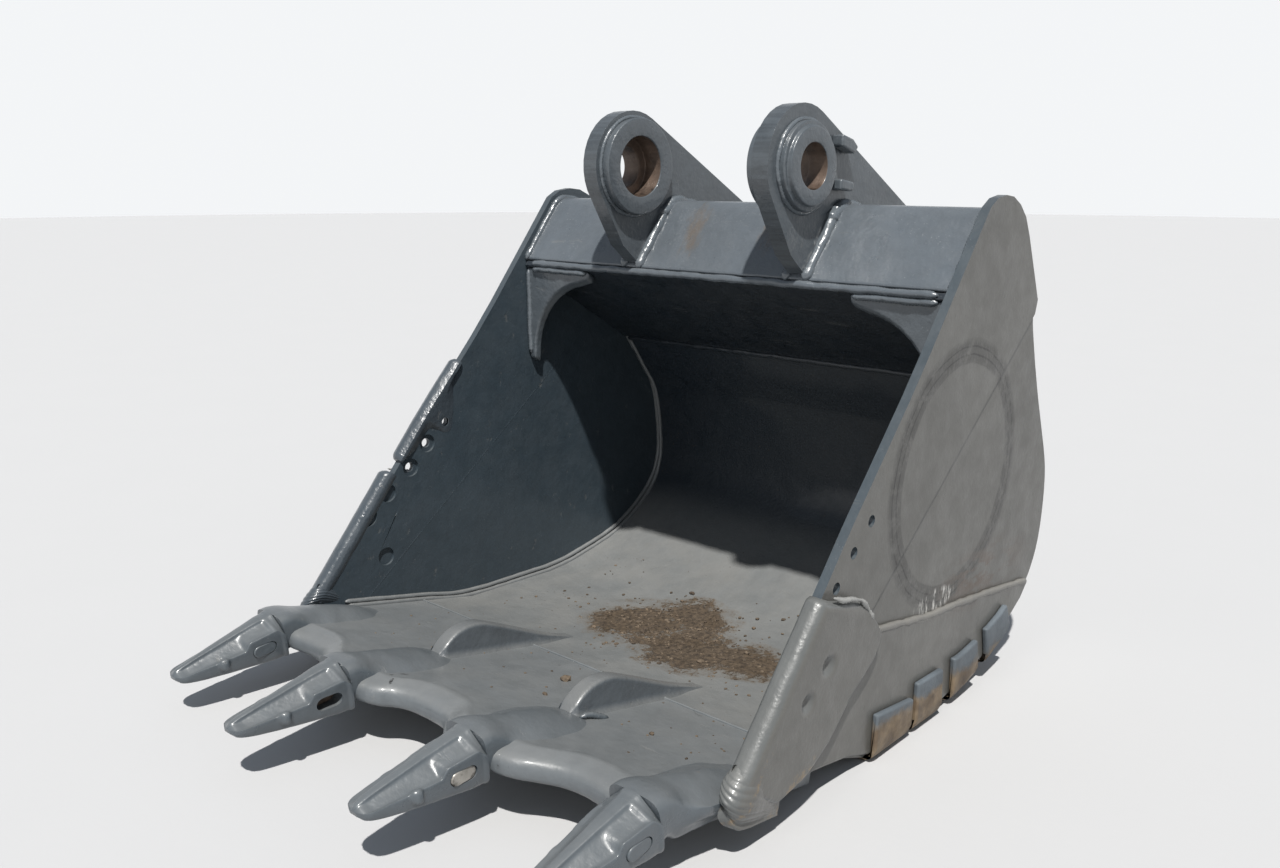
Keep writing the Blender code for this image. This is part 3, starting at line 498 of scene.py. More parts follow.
def eased(value):
    """Smooth step from 0 to 1."""
    value = min(max(value, 0.0), 1.0)
    return value * value * (3 - 2 * value)


def table_slope(rows, k, column):
    """Slope of one column at a row, flat where the values turn."""
    if k <= 0 or k >= len(rows) - 1:
        return 0.0
    here, before, after = rows[k], rows[k - 1], rows[k + 1]
    low = (here[column] - before[column]) / (here[0] - before[0])
    high = (after[column] - here[column]) / (after[0] - here[0])
    return 0.0 if low * high <= 0 else 2 * low * high / (low + high)


def table_at(rows, key):
    """Values between the rows of (key, value, ...), on a smooth curve without overshoot."""
    key = min(max(key, rows[0][0]), rows[-1][0])
    i = max(k for k in range(len(rows) - 1) if rows[k][0] <= key)
    span = rows[i + 1][0] - rows[i][0]
    t = (key - rows[i][0]) / span
    values = []
    for column in range(1, len(rows[0])):
        low, high = rows[i][column], rows[i + 1][column]
        bend = (table_slope(rows, i, column) * t * (1 - t) ** 2
                - table_slope(rows, i + 1, column) * t * t * (1 - t))
        values.append(low * (1 + 2 * t) * (1 - t) ** 2 + high * t * t * (3 - 2 * t)
                      + span * bend)
    return values


def lean(point):
    """Lean a point of the sides inwards, as the CAD's side walls lean."""
    x, y, z = point
    behind = (Vector((y, z)) - EDGE_POINT).dot(EDGE_NORMAL)
    reach = min(abs(x) / BAR_IN, 1.0)
    return Vector((x - math.copysign(SIDE_TAPER * behind * reach, x), y, z))


def lip_point(x, ahead, above):
    """Point on the sloping lip: across, ahead of its rear edge and square to its top."""
    run, rise = math.cos(LIP_SLOPE), math.sin(LIP_SLOPE)
    return Vector((x, LIP_REAR.x - ahead * run + above * rise,
                   LIP_REAR.y + ahead * rise + above * run))


def wobble(point):
    """Slow uneven shift in all three directions."""
    return Vector((noise.noise(point * 30.0), noise.noise(point * 31.0 + Vector((5, 0, 0))),
                   noise.noise(point * 29.0 + Vector((0, 7, 0)))))


def bead(name, points, radius, look="weld", wander=0.22, ripple=0.10, pitch=0.007,
         closed=False):
    """Weld bead: a tube along the points whose girth swells once per ripple."""
    path = spaced(points, pitch / 2)
    if closed:
        path = path[:-1]
    count = len(path)
    rings = []
    side = None
    for i, point in enumerate(path):
        ahead = path[(i + 1) % count] if closed or i < count - 1 else point
        behind = path[i - 1] if closed or i > 0 else point
        along = (ahead - behind).normalized()
        if side is None:
            side = along.orthogonal().normalized()
        side = (side - along * side.dot(along)).normalized()
        other = along.cross(side)
        swell = 1 + ripple * (1 if i % 2 else -1) + wander * noise.noise(point * 38.0)
        taper = 1.0 if closed else min(1.0, 0.35 + min(i, count - 1 - i) / 4)
        centre = point + wobble(point) * radius * wander
        rings.append([centre + (side * math.cos(a) + other * math.sin(a)) * radius * swell * taper
                      for a in turn(10)])
    return piece(name, loft(rings, closed), look, smooth_angle=80)


# ---- plates of the shell ----
def build_plates():
    rolled("wrap_plate", 0.003, "floor")
    rolled("torque_tube", 0.009, "tube")
    # the inner back plate and the tube diaphragms below take the inner look's painted shade
    rolled("inner_back_plate", 0.003, "inner")
    rolled("outer_back_plate", 0.004, "shell")
    for side in SIDES:
        rolled("side_bar_" + side, 0.0045, "side")
        rolled("side_plate_" + side, 0.003, "side")
        rolled("side_wear_plate_" + side, 0.004, "side")
        rolled("corner_gusset_" + side, 0.006, "hanger")
        rolled("ear_" + side, 0.0035, "ear")
        rolled("tube_diaphragm_" + side, 0.002, "inner")
        for number in range(1, 5):
            rolled("heel_shroud_%s_%d" % (side, number), 0.005, "heel")
    for place in ("left", "centre", "right"):
        rolled("bottom_wear_strip_" + place, 0.003, "heel")
    for place in ("upper", "lower"):
        rolled("pin_keeper_block_" + place, 0.005, "hanger")


# ---- castings over the leading edges ----
def rounded_outline(points, radius, steps=4):
    """Closed outline with every corner cut to a small arc."""
    outline = []
    count = len(points)
    for i, point in enumerate(points):
        corner = Vector(point)
        before = Vector(points[i - 1]) - corner
        after = Vector(points[(i + 1) % count]) - corner
        reach = min(radius, before.length * 0.45, after.length * 0.45)
        a = corner + before.normalized() * reach
        b = corner + after.normalized() * reach
        for k in range(steps + 1):
            t = k / steps
            outline.append((1 - t) ** 2 * a + 2 * t * (1 - t) * corner + t ** 2 * b)
    return outline


def divided(outline, counts):
    """Closed outline with each of its sides cut into the given number of pieces."""
    points = []
    for a, b, count in zip(outline, outline[1:] + outline[:1], counts):
        points += [a.lerp(b, k / count) for k in range(count)]
    return points


def dented(point, dimples):
    """Point of the outer skin, sunk where a dimple is, with a slightly uneven surface."""
    x, y, z = point
    if x > BAR_OUT + 0.008:
        for centre, radius, depth in dimples:
            x -= depth * eased(1 - (Vector((y, z)) - Vector(centre)).length / radius)
    return Vector((x + 0.0009 * noise.noise(point * 24.0), y, z))


def cap_section(point, forward, rear, depth_in, outer, inner, nose):
    """Closed section of a cap: outer skin, rounded nose, thin inner leg and the seat."""
    inside, outside = BAR_IN - 0.0005, BAR_OUT + 0.0005
    leg = (rear - point).normalized()
    front = [(outer, nose * 0.05), (outer - 0.002, nose * 0.45), (outer - 0.008, nose * 0.80),
             (outer - 0.018, nose * 0.98), (inside + 0.013, nose * 0.98),
             (inside + 0.004, nose * 0.80), (inner + 0.001, nose * 0.40), (inner, -0.001),
             (inside, -depth_in), (inside, -0.0005), (outside, -0.0005)]
    section = [(x, point + forward * out) for x, out in front]
    section += [(outside, rear - leg * 0.001), (outer - 0.006, rear), (outer - 0.002, rear - leg * 0.002),
                (outer, rear - leg * 0.008)]
    return [Vector((x, *place)) for x, place in section]


def edge_casting(name, node, sign, table, outer, inner, nose, dimples=()):
    """Cap over the leading edge, lofted along it."""
    path = [p for p in spaced(smooth(LEADING_EDGE, 8), 0.004)
            if table[0][0] <= p.y <= table[-1][0]]
    counts = [2, 2, 2, 3, 2, 2, 2, 3, 1, 3, 12, 2, 1, 1, 46]
    rings = []
    for i, point in enumerate(path):
        along = path[min(i + 1, len(path) - 1)] - path[max(i - 1, 0)]
        forward = Vector((-along.y, along.x)).normalized()
        rear_y, rear_z, depth_in = table_at(table, point.y)
        end = min(i, len(path) - 1 - i)
        shrink = 1.0 - 0.40 * (1 - min(end / 3.5, 1.0)) ** 2
        skin = BAR_OUT + (outer - BAR_OUT) * shrink
        lining = BAR_IN + (inner - BAR_IN) * shrink
        section = cap_section(point, forward, Vector((rear_y, rear_z)), depth_in, skin, lining,
                              nose * shrink)
        ring = [dented(p, dimples) for p in divided(section, counts)]
        rings.append([lean((sign * p.x, p.y, p.z)) for p in ring])
    # the left side takes the cap look, a painted-shade copy of the shroud enamel
    return piece(name, loft(rings), "shroud" if sign > 0 else "cap", [node], 50)


# side shroud: height on the leading edge, rear edge of its outer leg (Y, Z), inner depth
SHROUD_REAR = [(0.122, -0.500, 0.072, 0.004), (0.160, -0.415, 0.084, 0.008),
               (0.226, -0.334, 0.124, 0.010), (0.299, -0.262, 0.190, 0.010),
               (0.353, -0.178, 0.250, 0.010), (0.384, -0.162, 0.284, 0.010),
               (0.404, -0.240, 0.370, 0.008)]
# top edge of its outer leg, and dimples in it: middle (Y, Z), radius, depth
SHROUD_TOP = [(-0.345, 0.408), (-0.318, 0.398), (-0.290, 0.392), (-0.264, 0.382),
              (-0.246, 0.377), (-0.222, 0.354), (-0.198, 0.326)]
DIMPLES = [((-0.350, 0.282), 0.028, 0.013), ((-0.413, 0.231), 0.026, 0.012)]
# edge protector: height on the leading edge, depths outside and inside
PROTECTOR_DEPTHS = [(0.428, 0.018, 0.006), (0.453, 0.020, 0.016), (0.480, 0.022, 0.022),
                    (0.505, 0.024, 0.020), (0.522, 0.024, 0.030), (0.530, 0.024, 0.070),
                    (0.540, 0.024, 0.082), (0.556, 0.024, 0.077), (0.589, 0.024, 0.046),
                    (0.621, 0.024, 0.016), (0.648, 0.020, 0.006), (0.664, 0.016, 0.003)]
FLAP_HOLE = (-0.193, 0.512)
FLAP_HOLE_RADIUS = 0.0115


def behind_edge(height, depth):
    """Point (Y, Z) squarely behind the leading edge at a height."""
    path = [Vector(p) for p in LEADING_EDGE]
    for a, b in zip(path, path[1:]):
        if a.y <= height <= b.y:
            return a.lerp(b, (height - a.y) / (b.y - a.y)) + EDGE_NORMAL * depth
    return path[-1]


def build_edge_castings():
    for side, sign in SIDES.items():
        edge_casting("side_shroud_casting_" + side, "side_shroud_" + side, sign, SHROUD_REAR,
                     BAR_OUT + 0.0243, BAR_IN - 0.004, 0.024, DIMPLES)
        burr = [lean((sign * (BAR_OUT + 0.0200), y, z)) for y, z in SHROUD_TOP]
        bead("shroud_burr_" + side, burr, 0.0042, "burr", wander=0.9, ripple=0.2, pitch=0.009)
    table = [(height, *behind_edge(height, out), inside) for height, out, inside in PROTECTOR_DEPTHS]
    cap = edge_casting("edge_protector_casting", "edge_protector_left", -1, table,
                       BAR_OUT + 0.0143, BAR_IN - 0.009, 0.018)
    rings = [[lean(rim(-(BAR_IN + across), FLAP_HOLE, FLAP_HOLE_RADIUS, a)) for a in turn(32)]
             for across in (-0.03, 0.03)]
    bored(cap, loft(rings))


def bored(obj, cutter_mesh):
    """Cut a mesh out of a finished piece."""
    cutter = bpy.data.objects.new("cutter", cutter_mesh)
    bpy.context.scene.collection.objects.link(cutter)
    cut = obj.modifiers.new("bore", "BOOLEAN")
    cut.operation = "DIFFERENCE"
    cut.solver = "EXACT"
    cut.object = cutter
    graph = bpy.context.evaluated_depsgraph_get()
    mesh = bpy.data.meshes.new_from_object(obj.evaluated_get(graph))
    obj.modifiers.clear()
    obj.data = mesh
    bpy.data.objects.remove(cutter)


# ---- cutting edge, ribs ----
# half of the front outline: across, ahead of the rear edge
LIP_HALF = [(0.000, 0.443), (0.050, 0.447), (0.085, 0.463), (0.112, 0.489), (0.150, 0.503),
            (0.210, 0.506), (0.270, 0.503), (0.312, 0.490), (0.345, 0.466), (0.385, 0.442),
            (0.430, 0.433), (0.470, 0.436), (0.510, 0.441), (0.560, 0.436), (0.600, 0.410),
            (0.614, 0.340), (0.6180, 0.20), (0.6195, 0.001)]


# from the top face down to the underside: height, distance behind the front outline
LIP_STEPS = [(0.0000, 0.074), (0.0015, 0.062), (0.0034, 0.053), (0.0018, 0.045),
             (-0.0020, 0.034), (-0.0060, 0.021), (-0.0105, 0.010), (-0.0170, 0.003),
             (-0.0260, 0.000), (-0.041, 0.0), (-0.047, 0.003), (-0.050, 0.010)]


def build_lip():
    """Cutting edge: flat top, worn ridge, shallow bevel and rounded front, step by step."""
    half = smooth(LIP_HALF, 6)
    front = [Vector((-p.x, p.y)) for p in reversed(half[1:])] + half
    rings = []
    for above, inset in LIP_STEPS:
        uneven = above > -0.02 and inset < 0.06
        ring = []
        for point in front:
            share = eased((point.y - 0.10) / 0.28)
            height = above * share if above > 0 else above
            spot = lip_point(point.x, point.y - inset * share, height)
            sag = 0.0008 * noise.noise(spot * 14.0) if uneven else 0.0
            ring.append(lean(spot + Vector((0, 0, sag))))
        rings.append(ring)
    piece("cutting_edge_plate", loft(rings), "lip", ["cutting_edge"], 50)


RIB_X = 0.206
# ahead of the lip's rear edge, height of the crest
RIB_CREST = [(0.274, 0.003), (0.258, 0.026), (0.236, 0.047), (0.210, 0.061), (0.182, 0.067),
             (0.150, 0.066), (0.100, 0.055), (0.040, 0.040), (-0.030, 0.022), (-0.105, 0.006),
             (-0.140, 0.001)]


def build_ribs():
    for side, sign in SIDES.items():
        x = sign * RIB_X
        rings = []
        for ahead, crest in spaced(smooth(RIB_CREST, 6), 0.005):
            crest = max(crest, 0.0015)
            width = 0.0235 - 0.007 * eased(1 - crest / 0.03)
            soft = min(0.010, crest * 0.6)
            fillet = min(0.013, crest * 0.7)
            section = [(-width - fillet, -0.003), (-width - fillet * 0.45, fillet * 0.22),
                       (-width - fillet * 0.10, fillet * 0.65), (-width + 0.001, fillet * 1.15)]
            section += [(-width + 0.002 + soft * (1 - math.cos(a)),
                         crest - soft + soft * math.sin(a)) for a in (0.0, 0.4, 0.8, 1.2, 1.571)]
            section += [(-s, up) for s, up in reversed(section)]
            wave = 0.0015 * noise.noise(Vector((ahead * 20, sign, 0)))
            rings.append([lip_point(x + across + wave, ahead, up) for across, up in section])
        piece("floor_rib_casting_" + side, loft(rings), "rib", ["floor_rib_" + side], 50)
    step = [lip_point(RIB_X + 0.034 + 0.004 * k, 0.262 - 0.012 * k, 0.004 + 0.004 * math.sin(k))
            for k in range(6)]
    bead("rib_step_weld", step, 0.0065, "casting", ripple=0.10)


# ---- teeth ----
def collar_ahead(kind):
    """Distance of a tooth's collar from the lip's rear edge, along the lip."""
    return (LIP_REAR.x - COLLAR_Y[kind]) / math.cos(LIP_SLOPE)


def tooth_frame(kind, x):
    """Local frame of a tip: across, along towards its point, and up."""
    centre = lip_point(x, collar_ahead(kind), 0.024 - COLLAR_HEIGHT / 2)
    pitch = TOOTH_PITCH[kind]
    across, along = Vector((-1, 0, 0)), Vector((0, -math.cos(pitch), -math.sin(pitch)))
    turned = Matrix((across, along, across.cross(along))).transposed().to_4x4()
    return Matrix.Translation(centre) @ turned


# along the tip: half width, crown height, keel depth, half width of the crown ridge
TIP_FORM = [(0.00, 0.0610, 0.0460, 0.0460, 0.017), (0.10, 0.0605, 0.0452, 0.0450, 0.015),
            (0.30, 0.0560, 0.0390, 0.0390, 0.012), (0.55, 0.0480, 0.0300, 0.0310, 0.010),
            (0.78, 0.0400, 0.0215, 0.0220, 0.008), (0.92, 0.0330, 0.0150, 0.0150, 0.007),
            (0.975, 0.0240, 0.0105, 0.0110, 0.006), (1.00, 0.0100, 0.0050, 0.0050, 0.003)]


def tip_half(t, wear):
    """Half section of a tip, crown to keel: ridge, sunk flank panel, its rim, lower side.

    wear is how much of the rim's steps is left; the left flanks are rubbed smoother.
    """
    wide, crown, keel, ridge = table_at(TIP_FORM, t)
    sunk = 0.0048 * eased((0.985 - t) / 0.10) * eased((t - 0.085) / 0.035)
    rim = crown * (0.12 + 0.42 * wear * eased((0.40 - t) / 0.07) * eased((t + 0.02) / 0.1))
    top, low = Vector((ridge, crown - 0.0015)), Vector((wide * 0.985, rim))
    inward = Vector((-(top - low).y, (top - low).x)).normalized()
    if inward.x > 0:
        inward = -inward
    lug = wear * math.exp(-((t - 0.60) / 0.042) ** 4)
    corner = [Vector((0.0, crown + 0.0008)), Vector((ridge * 0.7, crown))]
    for share, depth in ((0.0, 0.0), (0.10, 0.75), (0.28, 1.0), (0.55, 1.0), (0.80, 0.85)):
        corner.append(top.lerp(low, share) + inward * sunk * depth)
    corner.append(top.lerp(low, 0.93) - inward * 0.0075 * lug)
    corner.append(low + Vector((0.0105 * lug, 0.001)))
    corner.append(Vector((wide + 0.0100 * lug, rim - 0.006 - 0.010 * lug)))
    corner += [Vector((wide * 0.985, (rim - keel) * 0.55)), Vector((wide * 0.93, -keel * 0.86)),
               Vector((wide * 0.78, -keel)), Vector((wide * 0.40, -keel)), Vector((0.0, -keel))]
    return smooth(corner, 3)


def build_tip(name, kind, x):
    matrix = tooth_frame(kind, x)
    rings = []
    for t in [0.003 + 0.997 * (i / 74) for i in range(75)]:
        outline = [(p.x, p.y) for p in tip_half(t, 0.15)[:-1]]
        outline += [(-p.x, p.y) for p in tip_half(t, 1.0)[:0:-1]]
        collar = 1.0 + 0.035 * eased((0.045 - t) / 0.02)
        ring = []
        for across, up in outline:
            spot = Vector((across * collar, t * TIP_LENGTH, up * collar))
            spot += Vector((1, 0, 1)) * 0.0003 * noise.noise(spot * 40.0 + Vector((x * 9, 0, 0)))
            ring.append(matrix @ spot)
        rings.append(ring)
    tip = piece("tooth_tip_casting_" + name, loft(rings), "casting", ["tooth_tip_" + name], 60)
    return tip, matrix


def oval_prism(matrix, size, reach):
    """Oval block through a tooth, of a size (half straight, radius), reaching both ways."""
    half, radius = size
    rings = []
    for across in (-reach, reach):
        ring = []
        for a in turn(32):
            shift = half if math.cos(a) > 0 else -half
            ring.append(matrix @ Vector((across, PIN_FORWARD + shift + radius * math.cos(a),
                                         -0.006 + radius * 0.92 * math.sin(a))))
        rings.append(ring)
    return loft(rings)


PIN_WAY = (0.0130, 0.0150)
PIN_BODY = (0.0128, 0.0142)
# look and half length of each pin
PIN_LOOK = {"left_corner": ("casting", 0.0590), "left_centre": ("bore", 0.030),
            "right_centre": ("pale", 0.0575), "right_corner": ("casting", 0.0590)}


def build_pins(name, tip, matrix):
    """Oval pin way through the tip, with its pin more or less flush."""
    bored(tip, oval_prism(matrix, PIN_WAY, 0.09))
    look, reach = PIN_LOOK[name]
    mesh = oval_prism(matrix, PIN_BODY, reach)
    pin = piece("tooth_pin_face_" + name, mesh, look, ["tooth_pin_" + name], 40)
    bevel = pin.modifiers.new("rounded_edges", "BEVEL")
    bevel.width = 0.002
    bevel.segments = 2


# corner adapters end square at the side bars
ADAPTER_LIMIT = BAR_MIDDLE
# back along an adapter, from its collar: half width, crown, share of the flared form, keel
ADAPTER_FORM = {
    "corner": [(0.000, 0.0575, 0.0225, 0.0, -0.0640), (0.012, 0.0560, 0.0225, 0.0, -0.0640),
               (0.055, 0.0600, 0.0260, 0.45, -0.0650), (0.100, 0.0720, 0.0265, 0.95, -0.0620),
               (0.150, 0.0780, 0.0230, 1.0, -0.0560), (0.176, 0.0780, 0.0210, 1.0, -0.0120),
               (0.225, 0.0760, 0.0130, 1.0, -0.0120), (0.275, 0.0640, 0.0010, 1.0, -0.0120)],
    "centre": [(0.000, 0.0575, 0.0225, 0.0, -0.0640), (0.012, 0.0560, 0.0225, 0.0, -0.0640),
               (0.050, 0.0620, 0.0265, 0.45, -0.0650), (0.095, 0.0800, 0.0270, 0.95, -0.0620),
               (0.140, 0.0960, 0.0240, 1.0, -0.0560), (0.180, 0.0960, 0.0215, 1.0, -0.0540),
               (0.200, 0.0930, 0.0200, 1.0, -0.0120), (0.230, 0.0860, 0.0130, 1.0, -0.0120),
               (0.275, 0.0700, 0.0010, 1.0, -0.0120)]}


def adapter_ring(kind, x, back, matrix):
    """Section of an adapter: boxy at its collar, then a bell-shaped web over the lip."""
    wide, crown, flare, keel = table_at(ADAPTER_FORM[kind], back)
    ahead = collar_ahead(kind) - 0.001 - back
    ring = []
    for a in turn(64):
        c, s = math.cos(a), math.sin(a)
        boxy = Vector((math.copysign(abs(c) ** 0.5, c), math.copysign(abs(s) ** 0.5, s)))
        if s >= 0:
            middle = -0.020
            top = Vector((boxy.x * 0.057, middle + (crown - middle) * boxy.y))
            bell = (0.5 + 0.5 * math.cos(math.pi * c)) ** 0.75
            web = Vector((c * wide, -0.004 + (crown + 0.004) * bell))
            point = top.lerp(web, flare)
        else:
            middle = -0.020 + 0.016 * flare
            side = 0.057 + (min(wide, 0.066) - 0.057) * flare
            point = Vector((boxy.x * side, middle + (middle - keel) * boxy.y))
            if flare > 0:
                point.x = boxy.x * (wide + (0.056 - wide) * eased(-s * 3))
        across = max(-ADAPTER_LIMIT, min(ADAPTER_LIMIT, x + point.x))
        flat = lip_point(across, ahead, point.y)
        tilted = matrix @ Vector((-point.x, -back - 0.0008, point.y + COLLAR_HEIGHT / 2 - 0.0235))
        spot = tilted.lerp(flat, eased((back - 0.008) / 0.05))
        lump = 0.0016 * noise.noise(spot * 26.0) * eased(back / 0.05)
        ring.append(spot + Vector((0, 0, lump)))
    return ring


def build_adapter(name, kind, x, matrix):
    last = ADAPTER_FORM[kind][-1][0]
    count = int(last / 0.005)
    rings = [adapter_ring(kind, x, last * i / count, matrix) for i in range(count + 1)]
    piece("tooth_adapter_casting_" + name, loft(rings), "casting", ["tooth_adapter_" + name], 60)


def build_teeth():
    for name, (kind, x) in TEETH.items():
        tip, matrix = build_tip(name, kind, x)
        build_pins(name, tip, matrix)
        build_adapter(name, kind, x, matrix)


# ---- hanger hubs ----
def build_hub(end, side, pin, flange, body, bore, counterbore, look):
    """Turned hub: flange against the ear, body through it, stepped face and bare bore."""
    face, shoulder, step = EAR_IN[side] - 0.0005, HUB_IN + 0.054, HUB_OUT - 0.010
    profile = [(counterbore, HUB_IN), (flange, HUB_IN), (flange, face), (body, face),
               (body, step), (body - 0.0105, step), (body - 0.012, HUB_OUT), (bore, HUB_OUT),
               (bore, shoulder), (counterbore, shoulder)]
    outline = rounded_outline(profile, 0.003, 3)
    rings = [[rim(SIDES[side] * x, pin, r, a) for r, x in outline] for a in turn(96)]
    mesh = loft(rings, True)
    piece("%s_hub_turned_%s" % (end, side), mesh, look, ["%s_hub_%s" % (end, side)], 40)
    mesh.materials.append(LOOKS["bore"])
    for polygon in mesh.polygons:
        away = polygon.center - Vector((0, *pin))
        radius = Vector((away.y, away.z)).length
        deep = HUB_IN + 0.003 < abs(away.x) < HUB_OUT - 0.002
        if radius < counterbore + 0.002 and deep:
            polygon.material_index = 1


def build_hubs():
    flanges = {"left": (0.113, 0.098), "right": (0.100, 0.090)}
    for side, sign in SIDES.items():
        front, rear = flanges[side]
        build_hub("front", side, FRONT_PIN, front, FRONT_BODY, 0.049, 0.071, "hanger")
        build_hub("rear", side, REAR_PIN, rear, REAR_BODY, 0.044, 0.062, "rusty")
        near, far = EAR_IN[side] - 0.001, EAR_IN[side] + EAR_THICK + 0.001
        for end, pin, inner, outer in (("front", FRONT_PIN, front, FRONT_BODY),
                                       ("rear", REAR_PIN, rear, REAR_BODY)):
            for face, x, radius, girth in (("inner", near, inner, 0.0050),
                                           ("outer", far, outer, 0.0055)):
                path = [rim(sign * x, pin, radius + 0.002, a) for a in [*turn(120), 2 * math.pi]]
                bead("%s_hub_weld_%s_%s" % (end, face, side), path, girth, closed=True)


# ---- welds ----
WEAR_PLATE_TOP = [(-0.150, 0.280), (-0.076, 0.267), (0.050, 0.245), (0.186, 0.232),
                  (0.334, 0.215), (0.497, 0.193), (0.572, 0.182)]
# round the foot of a side bar, from inside to outside: X, Y
FOOT_PLAN = [(0.6320, -0.470), (0.6290, -0.530), (0.627, -0.590), (0.633, -0.617),
             (0.650, -0.624), (0.668, -0.612), (0.677, -0.575), (0.6765, -0.525),
             (0.676, -0.480)]


def build_welds():
    tube = smooth(TUBE_SEAT, 4)
    floor = smooth(WRAP_INSIDE, 6)
    for side, sign in SIDES.items():
        near, far = EAR_IN[side] - 0.005, EAR_IN[side] + EAR_THICK + 0.005
        for edge, x in (("inner", near), ("outer", far)):
            foot = [Vector((sign * x, p.x, p.y)) for p in tube]
            bead("ear_foot_weld_%s_%s" % (edge, side), foot, 0.0125, ripple=0.05)
            cap = [Vector((sign * x, 0.185 + 0.012 * k, 1.036 + 0.010 * k - 0.0009 * k * k))
                   for k in range(7)]
            bead("ear_foot_cap_%s_%s" % (edge, side), cap, 0.0165, ripple=0.04)
        bead("tube_end_weld_" + side,
             [lean((sign * (BAR_IN - 0.003), p.x, p.y)) for p in tube], 0.0085)
        front = [Vector((y, LIP_REAR.y - LIP_RISE * (y - LIP_REAR.x))) for y in (-0.520, -0.42)]
        for number, (across, up) in enumerate([(0.003, 0.0105), (0.0135, 0.0015)], start=1):
            bead("floor_side_weld_%s_%d" % (side, number),
                 [lean((sign * (BAR_IN - across), p.x, p.y + up)) for p in front + floor],
                 0.0062, "pale_weld", wander=0.12, ripple=0.05)
        bead("side_seam_inner_" + side,
             [lean((sign * (BAR_IN + 0.0030), -0.497 + 0.967 * t, 0.066 + 0.770 * t))
              for t in (0.03, 0.5, 0.92)], 0.0034, "side", wander=0.03)
        bead("side_seam_outer_" + side,
             [lean((sign * (BAR_OUT - 0.0075), -0.30 + 0.770 * t, 0.224 + 0.612 * t))
              for t in (0.0, 0.5, 1.0)], 0.0055, "side", wander=0.05)
        build_foot_weld(side, sign)
        bead("wear_plate_weld_" + side,
             [lean((sign * BAR_OUT, y, z + 0.001)) for y, z in WEAR_PLATE_TOP],
             0.0075, "dusty_weld", ripple=0.05)
        brace = [lean((sign * 0.622, 0.1, z)) for z in (0.66, 0.76, 0.885)]
        bead("gusset_weld_" + side, brace, 0.007)
        across = [Vector((sign * x, 0.098, 0.888)) for x in (0.40, 0.50, 0.60)]
        bead("gusset_top_weld_" + side, across, 0.008)
    width = [-0.603, 0.0, 0.603]
    # the back plate weld carries the inner look's painted shade
    bead("back_plate_weld", [Vector((x * 0.98, 0.458, 0.668)) for x in width], 0.007, "inner")
    bead("tube_front_weld", [Vector((x * 0.995, 0.096, 0.903)) for x in width], 0.0085,
         "tube", ripple=0.05)
    bead("lip_seam", [lip_point(x * 1.02, 0.002, 0.0005) for x in width], 0.0035, "lip")


def build_foot_weld(side, sign):
    """Blended build-up of fine weld passes round the front foot of a side bar."""
    plan = spaced(smooth(FOOT_PLAN, 7), 0.0035)
    passes, fine = 9, 7
    rings = []
    for i, spot in enumerate(plan):
        share = i / (len(plan) - 1)
        fade = eased(share / 0.45) * eased((1 - share) / 0.40)
        along = plan[min(i + 1, len(plan) - 1)] - plan[max(i - 1, 0)]
        out = Vector((along.y, -along.x)).normalized()
        floor = LIP_REAR.y - LIP_RISE * (spot.y - LIP_REAR.x)
        drop = 0.052 * eased((share - 0.40) / 0.25)
        top = floor + 0.004 + 0.046 * fade
        foot = floor - 0.002 - drop
        ring = [Vector((BAR_MIDDLE, spot.y, foot)),
                Vector((BAR_MIDDLE, spot.y + EDGE_LEAN * (top - floor), top))]
        for k in range(passes * fine + 1):
            level = k / (passes * fine)
            bulge = math.sin(math.pi * min(level * 1.15, 1.0)) ** 0.7
            shift = 0.7 * noise.noise(Vector((share * 5, level * 3, sign)))
            groove = abs(math.sin(math.pi * k / fine + shift))
            depth = -0.012 + (0.012 * fade + 0.003) * bulge + 0.0015 * groove * fade ** 0.5
            x, y = spot + out * depth
            z = top + (foot - top) * level
            ring.append(Vector((x, y + EDGE_LEAN * max(z - floor, 0.0), z)))
        rings.append([lean((sign * p.x, p.y, p.z)) for p in ring])
    # the left foot weld takes the cap look, painted shade of the shroud enamel
    piece("foot_weld_" + side, loft(rings), "shroud" if sign > 0 else "cap", smooth_angle=70)


# ---- loose soil on the floor ----
def floor_height(y):
    """Height of the bowl's floor or of the lip's top at a depth."""
    path = [Vector(p) for p in WRAP_INSIDE]
    for a, b in zip(path, path[1:]):
        if a.x <= y <= b.x:
            return a.lerp(b, (y - a.x) / (b.x - a.x)).y
    return LIP_REAR.y - LIP_RISE * (y - LIP_REAR.x)


# single larger lumps: X, Y, radius
LUMPS = [(-0.14, 0.02, 0.009), (-0.09, -0.02, 0.008), (0.13, -0.06, 0.008),
         (-0.147, 0.235, 0.008), (0.048, -0.414, 0.010), (0.368, -0.490, 0.007),
         (0.10, -0.52, 0.006), (-0.20, -0.08, 0.007), (0.18, 0.05, 0.007)]


